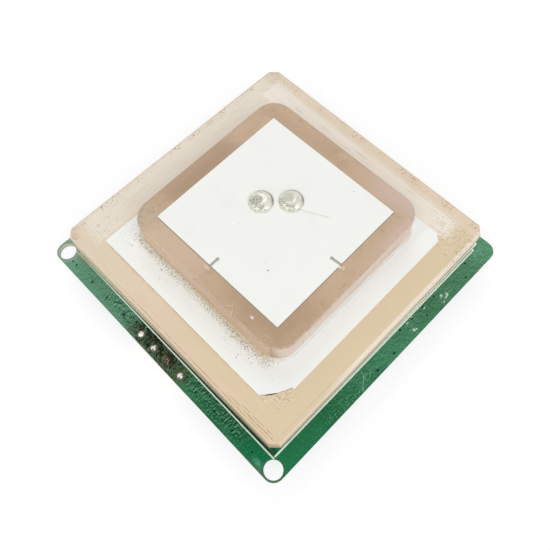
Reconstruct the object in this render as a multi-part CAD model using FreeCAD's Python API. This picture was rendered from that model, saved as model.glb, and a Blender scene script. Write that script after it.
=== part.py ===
import FreeCAD, Part
import math
import os

# A satellite receiver module: two ceramic patch antennas stacked on a square
# circuit board, with the receiver under a snap-on metal shield and a four-way
# socket at the front edge of the underside.
# Millimetres, +Z up. The origin lies on the ground, under the board's middle.
# The board's two screw holes are at its front edge, towards -Y.

Vector = FreeCAD.Vector
UP = Vector(0, 0, 1)
FAR = 100.0
REACH = 0.5

# Circuit board, as much wider than the lower tile as its margins
LOWER_SIDE = 38.0
BOARD_MARGIN = 2.0
BOARD_SIDE = LOWER_SIDE + 2 * BOARD_MARGIN
BOARD_THICKNESS = 0.8
BOARD_CORNER_RADIUS = 1.4
SCREW_HOLE_DIAMETER = 2.3
SCREW_HOLE_INSET = 1.4
UNDERSIDE_HEIGHT = 3.4

# Printed outline round the antenna
PRINT_INSET = 2.3
PRINT_LINE = 0.2
PRINT_THICKNESS = 0.04
PRINT_HOLE_GAP = 0.03

# Lower antenna. Shifts are from the middle of what carries the piece.
LOWER_THICKNESS = 4.0
LOWER_SHIFT = (-0.54, 0.65)
LOWER_TURN = 0.3
LOWER_CORNER_CUT = 1.0
LOWER_TOP_BEVEL = 0.3
LOWER_BASE_BEVEL = 0.15
LOWER_ADHESIVE_INSET = 1.3
LOWER_ADHESIVE_THICKNESS = 0.1
LOWER_GROUND_INSET = 0.5
LOWER_PATCH_SIDE = 30.1
LOWER_PATCH_SHIFT = (0.74, -0.9)
LOWER_PATCH_TURN = 0.45
LOWER_PATCH_CORNER_CUT = 0.85
TRIM_ALONG_FRONT = 2.3
TRIM_ALONG_SIDE = 3.3
TRIM_BULGE = 0.2
TRIM_STEP = 0.35

# Upper antenna
UPPER_SIDE = 25.4
UPPER_THICKNESS = 4.0
UPPER_SHIFT = (0.04, 0.25)
UPPER_TURN = 1.0
UPPER_CORNER_RADIUS = 2.8
UPPER_TOP_BEVEL = 0.2
UPPER_ADHESIVE_THICKNESS = 0.1
ADHESIVE_BEAD_WIDTH = 0.42
ADHESIVE_BEAD_HEIGHT = 0.4
UPPER_GROUND_INSET = 0.5
UPPER_PATCH_SIDE = 20.14
UPPER_PATCH_SHIFT = (0.04, -0.1)
NOTCH_WIDTH = 0.33
NOTCH_BULB_RADIUS = 0.22
FRONT_NOTCH_PLACE = -0.74
FRONT_NOTCH_LENGTH = 1.15
FRONT_NOTCH_SLANT = -0.5
SIDE_NOTCH_PLACE = 0.48
SIDE_NOTCH_LENGTH = 1.3
SIDE_NOTCH_SLANT = 4.7

# Silver coating of both ceramics
SILVER_THICKNESS = 0.05

# Feed pins, two for each antenna, at right angles about its middle
PIN_DIAMETER = 0.9
PIN_HOLE_GAP = 0.15
PIN_TAIL = 0.7
UPPER_FEED_OFFSET = 2.6
UPPER_FEED_SHIFT = (0.17, 0.0)
UPPER_HEAD_DIAMETER = 1.45
UPPER_HEAD_HEIGHT = 0.62
UPPER_HEAD_BEVEL = 0.12
SOLDER_DOME_DIAMETER = 3.16
SOLDER_DOME_HEIGHT = 0.7
LOWER_FEED_OFFSET = 3.9
LOWER_HEAD_DIAMETER = 1.6
LOWER_HEAD_HEIGHT = 0.2
LOWER_HEAD_SOLDER_WIDTH = 0.35
FEED_CLEARANCE = 0.6
HEAD_POCKET_DEPTH = 0.6
TAIL_SOLDER_WIDTH = 0.5
TAIL_SOLDER_HEIGHT = 0.55

# Socket at the front edge of the underside
SOCKET_WAYS = 4
SOCKET_PITCH = 2.5
SOCKET_SHIFT = 0.15
SOCKET_WIDTH = 2.0
SOCKET_END_WALL = 1.3
SOCKET_CELL = 1.0
SOCKET_CELL_ROOF = 0.7
SOCKET_FUNNEL = 0.2
SOCKET_EDGE_CUT = 0.2
CONTACT_METAL = 0.2
CONTACT_GAP = 0.05
CONTACT_TAIL_WIDTH = 0.5
CONTACT_TAIL_PROUD = 0.3
CONTACT_HOLE_DIAMETER = 0.9
CONTACT_SOLDER_DIAMETER = 1.1
CONTACT_SOLDER_HEIGHT = 0.42
CONTACT_SOLDER_SLOPE = 0.2

# Shield: a fence soldered to the board and a lid that snaps over it
SHIELD_LENGTH = 29.0
SHIELD_WIDTH = 25.0
SHIELD_SHIFT = (2.0, 1.5)
SHIELD_METAL = 0.2
SHIELD_CORNER_RADIUS = 0.9
SHIELD_GAP = 0.05
FENCE_RIM = 1.2
FENCE_BAR = 2.0
LID_WALL = 1.9
LID_EDGE_BEVEL = 0.14
SLIT_WIDTH = 0.4
SLIT_SPACING = 5.0
SLIT_TOP_LEFT = 0.6
SNAP_WIDTH = 1.4
SNAP_TALL = 0.5
SNAP_DEPTH = 0.16
SNAP_HEIGHT = 1.0
SNAP_GAP = 0.1

# Parts on the underside: length, width, height and place from the shield's
# middle. Parts in the free strip beside the shield have a distance from the
# board's front edge.
RECEIVER = (7.0, 7.0, 0.85, 8.4, 5.6)
MEMORY = (3.0, 2.0, 0.6, 8.0, -1.2)
OSCILLATOR = (2.5, 2.0, 0.9, 1.2, 8.8)
CLOCK_CRYSTAL = (3.2, 1.5, 0.8, 8.0, -4.4)
AMPLIFIER = (2.0, 2.0, 0.75)
UPPER_AMPLIFIER_PLACE = (-9.4, 4.6)
LOWER_AMPLIFIER_PLACE = (4.6, -8.6)
FILTER = (1.4, 1.1, 0.65)
UPPER_FILTER_PLACES = ((-9.2, 8.6), (-5.4, 8.6))
LOWER_FILTER_PLACES = ((8.4, -8.6), (11.6, -6.0))
COUPLER = (2.0, 1.25, 0.9)
COUPLER_FROM_FEEDS = 3.4
MARKED_EDGE_BEVEL = 0.08
CHIP_CAPACITOR = (1.0, 0.5, 0.5)
CHIP_END = 0.25
CHIP_END_PROUD = 0.03
CAPACITOR_ROW_FIRST = (-11.0, -9.6)
CAPACITOR_ROW_PITCH = 1.6
CAPACITORS_IN_ROW = 5
CAPACITOR_ROWS = 3
CAPACITOR_ROW_GAP = 2.2
CELL_DIAMETER = 6.8
CELL_THICKNESS = 1.9
CELL_SEAL_WIDTH = 0.45
CELL_SEAL_DEPTH = 0.3
CELL_FROM_FRONT = 26.0
CELL_TAB_WIDTH = 1.8
CELL_TAB_METAL = 0.15
CELL_TAB_FOOT = 1.4
CELL_TAB_LAP = 1.8
CELL_LIFT = 0.45
REGULATOR = (2.9, 1.6, 1.1)
REGULATOR_FROM_FRONT = 15.6
REGULATOR_LIFT = 0.1
LEAD_WIDTH = 0.4
LEAD_METAL = 0.15
LEAD_SPREAD = 0.6
LEAD_FOOT = 0.4
LEAD_PITCH = 0.95
SUPPLY_CAPACITOR = (3.2, 1.6, 1.3)
SUPPLY_CAPACITORS_FROM_FRONT = (12.6, 10.1)
STATUS_LIGHT = (1.6, 0.8, 0.3)
STATUS_LIGHT_FROM_FRONT = 6.6
STATUS_LENS_HEIGHT = 0.35
STATUS_LENS_LENGTH = 1.0


def joined(first, second):
    """The sum of two points in plan."""
    return (first[0] + second[0], first[1] + second[1])


def turned(point, degrees):
    """A point in plan, turned anticlockwise about the origin."""
    angle = math.radians(degrees)
    x = point[0] * math.cos(angle) - point[1] * math.sin(angle)
    y = point[0] * math.sin(angle) + point[1] * math.cos(angle)
    return (x, y)


# Heights of the stack
BOARD_BASE = UNDERSIDE_HEIGHT
BOARD_TOP = BOARD_BASE + BOARD_THICKNESS
LOWER_GROUND_BASE = BOARD_TOP + LOWER_ADHESIVE_THICKNESS
LOWER_BASE = LOWER_GROUND_BASE + SILVER_THICKNESS
LOWER_TOP = LOWER_BASE + LOWER_THICKNESS
LOWER_PATCH_TOP = LOWER_TOP + SILVER_THICKNESS
UPPER_GROUND_BASE = LOWER_PATCH_TOP + UPPER_ADHESIVE_THICKNESS
UPPER_BASE = UPPER_GROUND_BASE + SILVER_THICKNESS
UPPER_TOP = UPPER_BASE + UPPER_THICKNESS
UPPER_PATCH_TOP = UPPER_TOP + SILVER_THICKNESS
TAIL_END = BOARD_BASE - PIN_TAIL

# Middles of the stacked pieces
LOWER_MIDDLE = LOWER_SHIFT
LOWER_PATCH_MIDDLE = joined(LOWER_MIDDLE, LOWER_PATCH_SHIFT)
UPPER_MIDDLE = joined(LOWER_MIDDLE, UPPER_SHIFT)
UPPER_PATCH_MIDDLE = joined(UPPER_MIDDLE, UPPER_PATCH_SHIFT)

# Feed points of each antenna, one on each of its two axes
UPPER_FEED_MIDDLE = joined(UPPER_PATCH_MIDDLE, UPPER_FEED_SHIFT)
UPPER_FEEDS = {
    "left": joined(UPPER_FEED_MIDDLE, turned((-UPPER_FEED_OFFSET, 0), UPPER_TURN)),
    "back": joined(UPPER_FEED_MIDDLE, turned((0, UPPER_FEED_OFFSET), UPPER_TURN)),
}
LOWER_FEEDS = {
    "right": joined(LOWER_PATCH_MIDDLE, turned((LOWER_FEED_OFFSET, 0), LOWER_PATCH_TURN)),
    "front": joined(LOWER_PATCH_MIDDLE, turned((0, -LOWER_FEED_OFFSET), LOWER_PATCH_TURN)),
}
ALL_FEEDS = list(UPPER_FEEDS.values()) + list(LOWER_FEEDS.values())
PIN_RADIUS = PIN_DIAMETER / 2
PIN_HOLE_RADIUS = PIN_RADIUS + PIN_HOLE_GAP
BARE_RADIUS = PIN_RADIUS + FEED_CLEARANCE
HEAD_POCKET_RADIUS = LOWER_HEAD_DIAMETER / 2 + LOWER_HEAD_SOLDER_WIDTH + PIN_HOLE_GAP

# Socket and screw holes
SOCKET_Y = -BOARD_SIDE / 2 + SOCKET_WIDTH / 2
FIRST_CONTACT_X = SOCKET_SHIFT - SOCKET_PITCH * (SOCKET_WAYS - 1) / 2
CONTACT_PLACES = [(FIRST_CONTACT_X + SOCKET_PITCH * way, SOCKET_Y) for way in range(SOCKET_WAYS)]
SCREW_REACH = BOARD_SIDE / 2 - SCREW_HOLE_INSET
SCREW_PLACES = [(-SCREW_REACH, -SCREW_REACH), (SCREW_REACH, -SCREW_REACH)]

# Middle of the free strip between the board's left edge and the shield
STRIP_X = (-BOARD_SIDE / 2 + SHIELD_SHIFT[0] - SHIELD_LENGTH / 2) / 2


def block(length, width, height, middle, base):
    """A box centred in plan on a point, with its underside at a height."""
    corner = Vector(middle[0] - length / 2, middle[1] - width / 2, base)
    return Part.makeBox(length, width, height, corner)


def rod(radius, height, middle, base):
    """An upright cylinder."""
    return Part.makeCylinder(radius, height, Vector(middle[0], middle[1], base), UP)


def strip(points, width):
    """A strip centred across Y, from its outline in the XZ plane."""
    corners = [Vector(x, width / 2, z) for x, z in points]
    outline = Part.makePolygon(corners + corners[:1])
    return Part.Face(outline).extrude(Vector(0, -width, 0))


def edges_at(shape, height):
    """The edges that lie flat at one height."""
    return [
        edge
        for edge in shape.Edges
        if all(abs(vertex.Z - height) < 1e-6 for vertex in edge.Vertexes)
    ]


def upright_edges(shape):
    """The edges that run straight up."""
    return [
        edge
        for edge in shape.Edges
        if len(edge.Vertexes) == 2
        and abs(edge.Vertexes[0].X - edge.Vertexes[1].X) < 1e-6
        and abs(edge.Vertexes[0].Y - edge.Vertexes[1].Y) < 1e-6
    ]


def rounded_block(length, width, height, radius):
    """A slab from z = 0 with its four upright corners rounded."""
    slab = block(length, width, height, (0, 0), 0)
    return slab.makeFillet(radius, upright_edges(slab))


def placed(shape, middle, base, degrees=0.0):
    """The shape turned about +Z, then moved to its place."""
    moved = shape.copy()
    moved.rotate(Vector(0, 0, 0), UP, degrees)
    moved.translate(Vector(middle[0], middle[1], base))
    return moved


def in_strip(from_front):
    """A place in the free strip, at a distance from the board's front edge."""
    return (STRIP_X, from_front - BOARD_SIDE / 2)


def hung(shape, middle):
    """A part modelled standing on z = 0, turned over and hung under the board."""
    moved = shape.copy()
    moved.rotate(Vector(0, 0, 0), Vector(1, 0, 0), 180)
    moved.translate(Vector(middle[0], middle[1], BOARD_BASE))
    return moved


def drilled(shape, places, radius):
    """The shape with an upright hole at each place."""
    for place in places:
        shape = shape.cut(rod(radius, 2 * FAR, place, -FAR))
    return shape


def windowed(film, margin):
    """A film of adhesive with one square window round all the feed pins."""
    across = [place[0] for place in ALL_FEEDS]
    along = [place[1] for place in ALL_FEEDS]
    middle = ((min(across) + max(across)) / 2, (min(along) + max(along)) / 2)
    length = max(across) - min(across) + 2 * margin
    width = max(along) - min(along) + 2 * margin
    return film.cut(block(length, width, 2 * FAR, middle, -FAR))


def solder_cone(inner_radius, outer_radius, height):
    """A cone of solder from z = 0, up to a sharp lip round a pin."""
    slope = height / (outer_radius - inner_radius)
    cone = Part.makeCone(outer_radius, 0, outer_radius * slope)
    return cone.cut(rod(inner_radius, outer_radius * slope, (0, 0), 0))


def solder_dome(radius, height):
    """A dome of solder from z = 0, part of a ball."""
    ball_radius = (radius**2 + height**2) / (2 * height)
    ball = Part.makeSphere(ball_radius, Vector(0, 0, height - ball_radius))
    return ball.common(rod(radius + REACH, height + REACH, (0, 0), 0))


def circuit_board():
    """The board with its screw, feed and contact holes."""
    board = rounded_block(BOARD_SIDE, BOARD_SIDE, BOARD_THICKNESS, BOARD_CORNER_RADIUS)
    board = placed(board, (0, 0), BOARD_BASE)
    board = drilled(board, SCREW_PLACES, SCREW_HOLE_DIAMETER / 2)
    board = drilled(board, ALL_FEEDS, PIN_HOLE_RADIUS)
    return drilled(board, CONTACT_PLACES, CONTACT_HOLE_DIAMETER / 2)


def outline_print():
    """The square printed round the antenna, broken at the screw holes."""
    outer = BOARD_SIDE - 2 * PRINT_INSET + PRINT_LINE
    inner = outer - 2 * PRINT_LINE
    frame = block(outer, outer, PRINT_THICKNESS, (0, 0), BOARD_TOP)
    frame = frame.cut(block(inner, inner, PRINT_THICKNESS, (0, 0), BOARD_TOP))
    return drilled(frame, SCREW_PLACES, SCREW_HOLE_DIAMETER / 2 + PRINT_HOLE_GAP)


def lower_adhesive():
    """The film that holds the lower antenna to the board."""
    side = LOWER_SIDE - 2 * LOWER_ADHESIVE_INSET
    film = block(side, side, LOWER_ADHESIVE_THICKNESS, (0, 0), 0)
    film = placed(film, LOWER_MIDDLE, BOARD_TOP, LOWER_TURN)
    return windowed(film, BARE_RADIUS)


def lower_ground():
    """The silvered underside of the lower ceramic."""
    side = LOWER_SIDE - 2 * LOWER_GROUND_INSET
    coat = block(side, side, SILVER_THICKNESS, (0, 0), 0)
    coat = coat.makeChamfer(LOWER_CORNER_CUT, upright_edges(coat))
    coat = placed(coat, LOWER_MIDDLE, LOWER_GROUND_BASE, LOWER_TURN)
    return drilled(coat, ALL_FEEDS, BARE_RADIUS)


def lower_ceramic():
    """The large tile, with cut corners and a bevelled rim."""
    tile = block(LOWER_SIDE, LOWER_SIDE, LOWER_THICKNESS, (0, 0), 0)
    tile = tile.makeChamfer(LOWER_CORNER_CUT, upright_edges(tile))
    tile = tile.makeChamfer(LOWER_TOP_BEVEL, edges_at(tile, LOWER_THICKNESS))
    tile = tile.makeChamfer(LOWER_BASE_BEVEL, edges_at(tile, 0))
    tile = placed(tile, LOWER_MIDDLE, LOWER_BASE, LOWER_TURN)
    return drilled(tile, ALL_FEEDS, PIN_HOLE_RADIUS)


def lower_patch():
    """The lower antenna's silver square, tuned by grinding off one corner."""
    half = LOWER_PATCH_SIDE / 2
    start = Vector(half - TRIM_ALONG_FRONT, -half, 0)
    end = Vector(half, -half + TRIM_ALONG_SIDE, 0)
    step = Vector(half - TRIM_STEP, end.y - TRIM_STEP, 0)
    chord = step - start
    outwards = Vector(chord.y, -chord.x, 0)
    outwards.normalize()
    belly = start + chord * 0.5 + outwards * TRIM_BULGE
    loop = [
        step,
        end,
        Vector(half, half - LOWER_PATCH_CORNER_CUT, 0),
        Vector(half - LOWER_PATCH_CORNER_CUT, half, 0),
        Vector(-half, half, 0),
        Vector(-half, -half, 0),
        start,
    ]
    edges = [Part.makeLine(a, b) for a, b in zip(loop[:-1], loop[1:])]
    edges.append(Part.Arc(start, belly, step).toShape())
    patch = Part.Face(Part.Wire(edges)).extrude(Vector(0, 0, SILVER_THICKNESS))
    patch = placed(patch, LOWER_PATCH_MIDDLE, LOWER_TOP, LOWER_PATCH_TURN)
    patch = drilled(patch, UPPER_FEEDS.values(), BARE_RADIUS)
    return drilled(patch, LOWER_FEEDS.values(), PIN_HOLE_RADIUS)


def upper_blank(grow, height):
    """The upper tile's outline, larger all round by grow, as a slab."""
    side = UPPER_SIDE + 2 * grow
    return rounded_block(side, side, height, UPPER_CORNER_RADIUS + grow)


def upper_adhesive():
    """The film under the upper antenna, squeezed out into a bead round it."""
    height = UPPER_ADHESIVE_THICKNESS + SILVER_THICKNESS + ADHESIVE_BEAD_HEIGHT
    bead = upper_blank(ADHESIVE_BEAD_WIDTH, height)
    bead = bead.makeChamfer(ADHESIVE_BEAD_WIDTH * 0.7, edges_at(bead, height))
    well = placed(upper_blank(0, height), (0, 0), UPPER_ADHESIVE_THICKNESS)
    film = placed(bead.cut(well), UPPER_MIDDLE, LOWER_PATCH_TOP, UPPER_TURN)
    return windowed(film, HEAD_POCKET_RADIUS)


def upper_ground():
    """The silvered underside of the upper ceramic."""
    coat = upper_blank(-UPPER_GROUND_INSET, SILVER_THICKNESS)
    coat = placed(coat, UPPER_MIDDLE, UPPER_GROUND_BASE, UPPER_TURN)
    coat = drilled(coat, UPPER_FEEDS.values(), BARE_RADIUS)
    return drilled(coat, LOWER_FEEDS.values(), HEAD_POCKET_RADIUS)


def upper_ceramic():
    """The small tile, with pockets over the heads of the lower feed pins."""
    tile = upper_blank(0, UPPER_THICKNESS)
    tile = tile.makeChamfer(UPPER_TOP_BEVEL, edges_at(tile, UPPER_THICKNESS))
    tile = placed(tile, UPPER_MIDDLE, UPPER_BASE, UPPER_TURN)
    tile = drilled(tile, UPPER_FEEDS.values(), PIN_HOLE_RADIUS)
    for feed in LOWER_FEEDS.values():
        tile = tile.cut(rod(HEAD_POCKET_RADIUS, HEAD_POCKET_DEPTH, feed, UPPER_BASE))
    return tile


def notch(length, slant):
    """A tuning slot that runs in along -X from the origin to a round end."""
    slot = block(length + REACH, NOTCH_WIDTH, SILVER_THICKNESS, ((REACH - length) / 2, 0), 0)
    slot = slot.fuse(rod(NOTCH_BULB_RADIUS, SILVER_THICKNESS, (-length, 0), 0))
    slot.rotate(Vector(0, 0, 0), UP, slant)
    return slot


def upper_patch():
    """The upper antenna's silver square, tuned by two ground slots."""
    half = UPPER_PATCH_SIDE / 2
    patch = block(UPPER_PATCH_SIDE, UPPER_PATCH_SIDE, SILVER_THICKNESS, (0, 0), 0)
    side_notch = placed(notch(SIDE_NOTCH_LENGTH, SIDE_NOTCH_SLANT), (half, SIDE_NOTCH_PLACE), 0)
    front_notch = notch(FRONT_NOTCH_LENGTH, FRONT_NOTCH_SLANT)
    front_notch = placed(front_notch, (FRONT_NOTCH_PLACE, -half), 0, -90)
    patch = patch.cut(side_notch).cut(front_notch)
    patch = placed(patch, UPPER_PATCH_MIDDLE, UPPER_TOP, UPPER_TURN)
    return drilled(patch, UPPER_FEEDS.values(), PIN_HOLE_RADIUS)


def feed_pin(feed, seat, head_diameter, head_height, head_bevel):
    """A headed pin from its seat on a patch down through the board."""
    head = rod(head_diameter / 2, head_height, feed, seat)
    if head_bevel:
        head = head.makeChamfer(head_bevel, edges_at(head, seat + head_height))
    shank = rod(PIN_RADIUS, seat - TAIL_END, feed, TAIL_END)
    return head.fuse(shank).removeSplitter()


def head_dome(feed):
    """The large joint round the head of an upper feed pin."""
    dome = solder_dome(SOLDER_DOME_DIAMETER / 2, SOLDER_DOME_HEIGHT)
    dome = placed(dome, feed, UPPER_PATCH_TOP)
    return drilled(dome, [feed], UPPER_HEAD_DIAMETER / 2)


def head_solder(feed):
    """The low ring of solder round the head of a lower feed pin."""
    radius = LOWER_HEAD_DIAMETER / 2
    ring = solder_cone(radius, radius + LOWER_HEAD_SOLDER_WIDTH, LOWER_HEAD_HEIGHT)
    return placed(ring, feed, LOWER_PATCH_TOP)


def tail_solder(feed):
    """The cone of solder round a feed pin under the board."""
    outer = PIN_HOLE_RADIUS + TAIL_SOLDER_WIDTH
    return hung(solder_cone(PIN_RADIUS, outer, TAIL_SOLDER_HEIGHT), feed)


def socket_housing():
    """The moulded strip with a funnelled cell over each contact."""
    length = SOCKET_PITCH * (SOCKET_WAYS - 1) + 2 * SOCKET_END_WALL
    body = block(length, SOCKET_WIDTH, UNDERSIDE_HEIGHT, (SOCKET_SHIFT, SOCKET_Y), 0)
    body = body.makeChamfer(SOCKET_EDGE_CUT, upright_edges(body))
    depth = UNDERSIDE_HEIGHT - SOCKET_CELL_ROOF
    mouth = SOCKET_CELL + 2 * SOCKET_FUNNEL
    for place in CONTACT_PLACES:
        cell = block(SOCKET_CELL, SOCKET_CELL, depth, place, 0)
        mouth_box = block(mouth, mouth, SOCKET_FUNNEL, place, 0)
        funnel = mouth_box.makeChamfer(
            SOCKET_FUNNEL * 0.98,
            edges_at(mouth_box, SOCKET_FUNNEL),
        )
        tail_slot = block(
            CONTACT_TAIL_WIDTH + 2 * CONTACT_GAP,
            CONTACT_METAL + 2 * CONTACT_GAP,
            UNDERSIDE_HEIGHT,
            place,
            0,
        )
        body = body.cut(cell).cut(funnel).cut(tail_slot)
    return body


def socket_contact(place):
    """A sprung contact: two leaves in the cell and a tail through the board."""
    roof = UNDERSIDE_HEIGHT - SOCKET_CELL_ROOF
    span = SOCKET_CELL - 2 * CONTACT_GAP
    leaf_base = SOCKET_FUNNEL + CONTACT_GAP
    bridge = block(CONTACT_TAIL_WIDTH, span, CONTACT_METAL, place, roof - CONTACT_METAL)
    contact = bridge
    for side in (-1, 1):
        leaf_place = (place[0], place[1] + side * (span - CONTACT_METAL) / 2)
        leaf = block(CONTACT_TAIL_WIDTH, CONTACT_METAL, roof - leaf_base, leaf_place, leaf_base)
        contact = contact.fuse(leaf)
    top = BOARD_TOP + CONTACT_TAIL_PROUD
    tail = block(CONTACT_TAIL_WIDTH, CONTACT_METAL, top - roof, place, roof)
    return contact.fuse(tail).removeSplitter()


def contact_solder(place):
    """The small joint on top of the board round a contact's tail."""
    foot = CONTACT_SOLDER_DIAMETER / 2
    bead = Part.makeCone(foot, foot - CONTACT_SOLDER_SLOPE, CONTACT_SOLDER_HEIGHT)
    bead = placed(bead, place, BOARD_TOP)
    return bead.cut(block(CONTACT_TAIL_WIDTH, CONTACT_METAL, 2 * FAR, place, -FAR))


def snap_places(length, width):
    """Middle and outward direction of each snap, on walls of a given size."""
    places = []
    for side in (-1, 1):
        for step in (-1, 0, 1):
            places.append(((step * SLIT_SPACING * 1.5, side * width / 2), (0, side)))
        for step in (-1, 1):
            places.append(((side * length / 2, step * SLIT_SPACING), (side, 0)))
    return places


def shield_fence():
    """The fence soldered to the board, with an inturned rim and a cross bar."""
    length = SHIELD_LENGTH - 2 * (SHIELD_METAL + SHIELD_GAP)
    width = SHIELD_WIDTH - 2 * (SHIELD_METAL + SHIELD_GAP)
    height = UNDERSIDE_HEIGHT - SHIELD_METAL
    radius = SHIELD_CORNER_RADIUS - SHIELD_METAL - SHIELD_GAP
    inner_radius = radius - SHIELD_METAL
    fence = rounded_block(length, width, height, radius)
    hollow = rounded_block(
        length - 2 * SHIELD_METAL, width - 2 * SHIELD_METAL, height, inner_radius
    )
    fence = fence.cut(placed(hollow, (0, 0), SHIELD_METAL))
    window_length = (length - 2 * FENCE_RIM - FENCE_BAR) / 2
    window_width = width - 2 * FENCE_RIM
    window_shift = (window_length + FENCE_BAR) / 2
    for side in (-1, 1):
        window = rounded_block(window_length, window_width, SHIELD_METAL, FENCE_RIM)
        fence = fence.cut(placed(window, (side * window_shift, 0), 0))
    fence = placed(fence, (0, 0), SHIELD_METAL)
    for middle, outward in snap_places(length, width):
        across = (SNAP_WIDTH + 2 * SNAP_GAP) * abs(outward[1]) + REACH * abs(outward[0])
        along = (SNAP_WIDTH + 2 * SNAP_GAP) * abs(outward[0]) + REACH * abs(outward[1])
        tall = SNAP_TALL + 2 * SNAP_GAP
        fence = fence.cut(block(across, along, tall, middle, SNAP_HEIGHT - SNAP_GAP))
    return placed(fence, SHIELD_SHIFT, 0)


def shield_lid():
    """The snap-on lid, its walls slit into fingers with inward snaps."""
    lid = rounded_block(SHIELD_LENGTH, SHIELD_WIDTH, LID_WALL, SHIELD_CORNER_RADIUS)
    lid = lid.makeChamfer(LID_EDGE_BEVEL, edges_at(lid, 0))
    inner_length = SHIELD_LENGTH - 2 * SHIELD_METAL
    inner_width = SHIELD_WIDTH - 2 * SHIELD_METAL
    inner_radius = SHIELD_CORNER_RADIUS - SHIELD_METAL
    hollow = rounded_block(inner_length, inner_width, LID_WALL, inner_radius)
    lid = lid.cut(placed(hollow, (0, 0), SHIELD_METAL))
    slit_height = LID_WALL - SLIT_TOP_LEFT
    for index in range(-2, 3):
        slit = block(SLIT_WIDTH, 2 * FAR, slit_height, (index * SLIT_SPACING, 0), SLIT_TOP_LEFT)
        lid = lid.cut(slit)
    for index in range(-1, 2):
        place = (0, index * SLIT_SPACING * 1.5)
        lid = lid.cut(block(2 * FAR, SLIT_WIDTH, slit_height, place, SLIT_TOP_LEFT))
    ridge = strip([(0, 0), (SNAP_DEPTH, SNAP_TALL / 2), (0, SNAP_TALL)], SNAP_WIDTH)
    for middle, outward in snap_places(inner_length, inner_width):
        inward = math.degrees(math.atan2(-outward[1], -outward[0]))
        lid = lid.fuse(placed(ridge, middle, SNAP_HEIGHT, inward))
    return placed(lid.removeSplitter(), SHIELD_SHIFT, 0)


def chip(size, place):
    """A moulded or lidded chip hung under the board, with a bevelled top."""
    length, width, height = size[:3]
    body = block(length, width, height, (0, 0), 0)
    body = body.makeChamfer(MARKED_EDGE_BEVEL, edges_at(body, height))
    return hung(body, joined(SHIELD_SHIFT, place))


def between_feeds(feeds):
    """The place of a coupler, off the corner between an antenna's two feeds."""
    first, second = feeds.values()
    middle = ((first[0] + second[0]) / 2, (first[1] + second[1]) / 2)
    outwards = Vector(middle[0], middle[1], 0)
    outwards.normalize()
    reach = outwards * COUPLER_FROM_FEEDS
    return (middle[0] + reach.x - SHIELD_SHIFT[0], middle[1] + reach.y - SHIELD_SHIFT[1])


def two_ended(size):
    """A chip capacitor: a body between two slightly larger metal ends."""
    length, width, height = size
    body = block(length, width, height - CHIP_END_PROUD, (0, 0), CHIP_END_PROUD / 2)
    for side in (-1, 1):
        end_place = (side * (length - CHIP_END) / 2, 0)
        grown = width + 2 * CHIP_END_PROUD
        body = body.fuse(block(CHIP_END, grown, height, end_place, 0))
    return body.removeSplitter()


def chip_capacitors():
    """Rows of small capacitors inside the shield, one solid for each."""
    rows = []
    for row in range(CAPACITOR_ROWS):
        for column in range(CAPACITORS_IN_ROW):
            step = (column * CAPACITOR_ROW_PITCH, row * CAPACITOR_ROW_GAP)
            place = joined(joined(SHIELD_SHIFT, CAPACITOR_ROW_FIRST), step)
            rows.append(hung(two_ended(CHIP_CAPACITOR), place))
    return Part.makeCompound(rows)


def supply_capacitors():
    """The larger supply capacitors beside the shield, one solid for each."""
    pieces = [
        hung(two_ended(SUPPLY_CAPACITOR), in_strip(distance))
        for distance in SUPPLY_CAPACITORS_FROM_FRONT
    ]
    return Part.makeCompound(pieces)


def backup_cell():
    """The flat round cell, with a groove where its two cups meet."""
    radius = CELL_DIAMETER / 2
    cell = rod(radius, CELL_THICKNESS, (0, 0), CELL_LIFT)
    base = CELL_LIFT + CELL_THICKNESS - CELL_SEAL_DEPTH
    groove = rod(radius, CELL_SEAL_DEPTH, (0, 0), base)
    groove = groove.cut(rod(radius - CELL_SEAL_WIDTH, CELL_SEAL_DEPTH, (0, 0), base))
    return hung(cell.cut(groove), in_strip(CELL_FROM_FRONT))


def cell_tab(side):
    """A welded tab: under the cell on one side, over it on the other."""
    seat = 0 if side < 0 else CELL_THICKNESS + CELL_TAB_METAL
    level = CELL_LIFT - CELL_TAB_METAL + seat
    edge = CELL_DIAMETER / 2
    inner = edge - CELL_TAB_LAP
    knee = edge + CELL_TAB_METAL + CHIP_END
    foot = knee + CELL_TAB_FOOT
    metal = CELL_TAB_METAL
    points = [
        (inner, level),
        (knee - metal, level),
        (knee - metal, 0),
        (foot, 0),
        (foot, metal),
        (knee, metal),
        (knee, level + metal),
        (inner, level + metal),
    ]
    tab = placed(strip(points, CELL_TAB_WIDTH), (0, 0), 0, 90 * side)
    return hung(tab, in_strip(CELL_FROM_FRONT))


def regulator_body():
    """The supply regulator's moulded body."""
    length, width, height = REGULATOR
    body = block(length, width, height - REGULATOR_LIFT, (0, 0), REGULATOR_LIFT)
    body = body.makeChamfer(MARKED_EDGE_BEVEL, edges_at(body, height))
    return hung(body, in_strip(REGULATOR_FROM_FRONT))


def regulator_leads():
    """Five bent leads, three on one side of the body and two on the other."""
    height = REGULATOR[2]
    edge = REGULATOR[1] / 2
    level = height / 2
    knee = edge + LEAD_SPREAD - LEAD_FOOT
    points = [
        (edge, level),
        (knee, level),
        (knee, 0),
        (edge + LEAD_SPREAD, 0),
        (edge + LEAD_SPREAD, LEAD_METAL),
        (knee + LEAD_METAL, LEAD_METAL),
        (knee + LEAD_METAL, level + LEAD_METAL),
        (edge, level + LEAD_METAL),
    ]
    lead = strip(points, LEAD_WIDTH)
    leads = []
    for side, steps in ((1, (-1, 0, 1)), (-1, (-1, 1))):
        for step in steps:
            leads.append(placed(lead, (step * LEAD_PITCH, 0), 0, 90 * side))
    return Part.makeCompound([hung(piece, in_strip(REGULATOR_FROM_FRONT)) for piece in leads])


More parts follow.
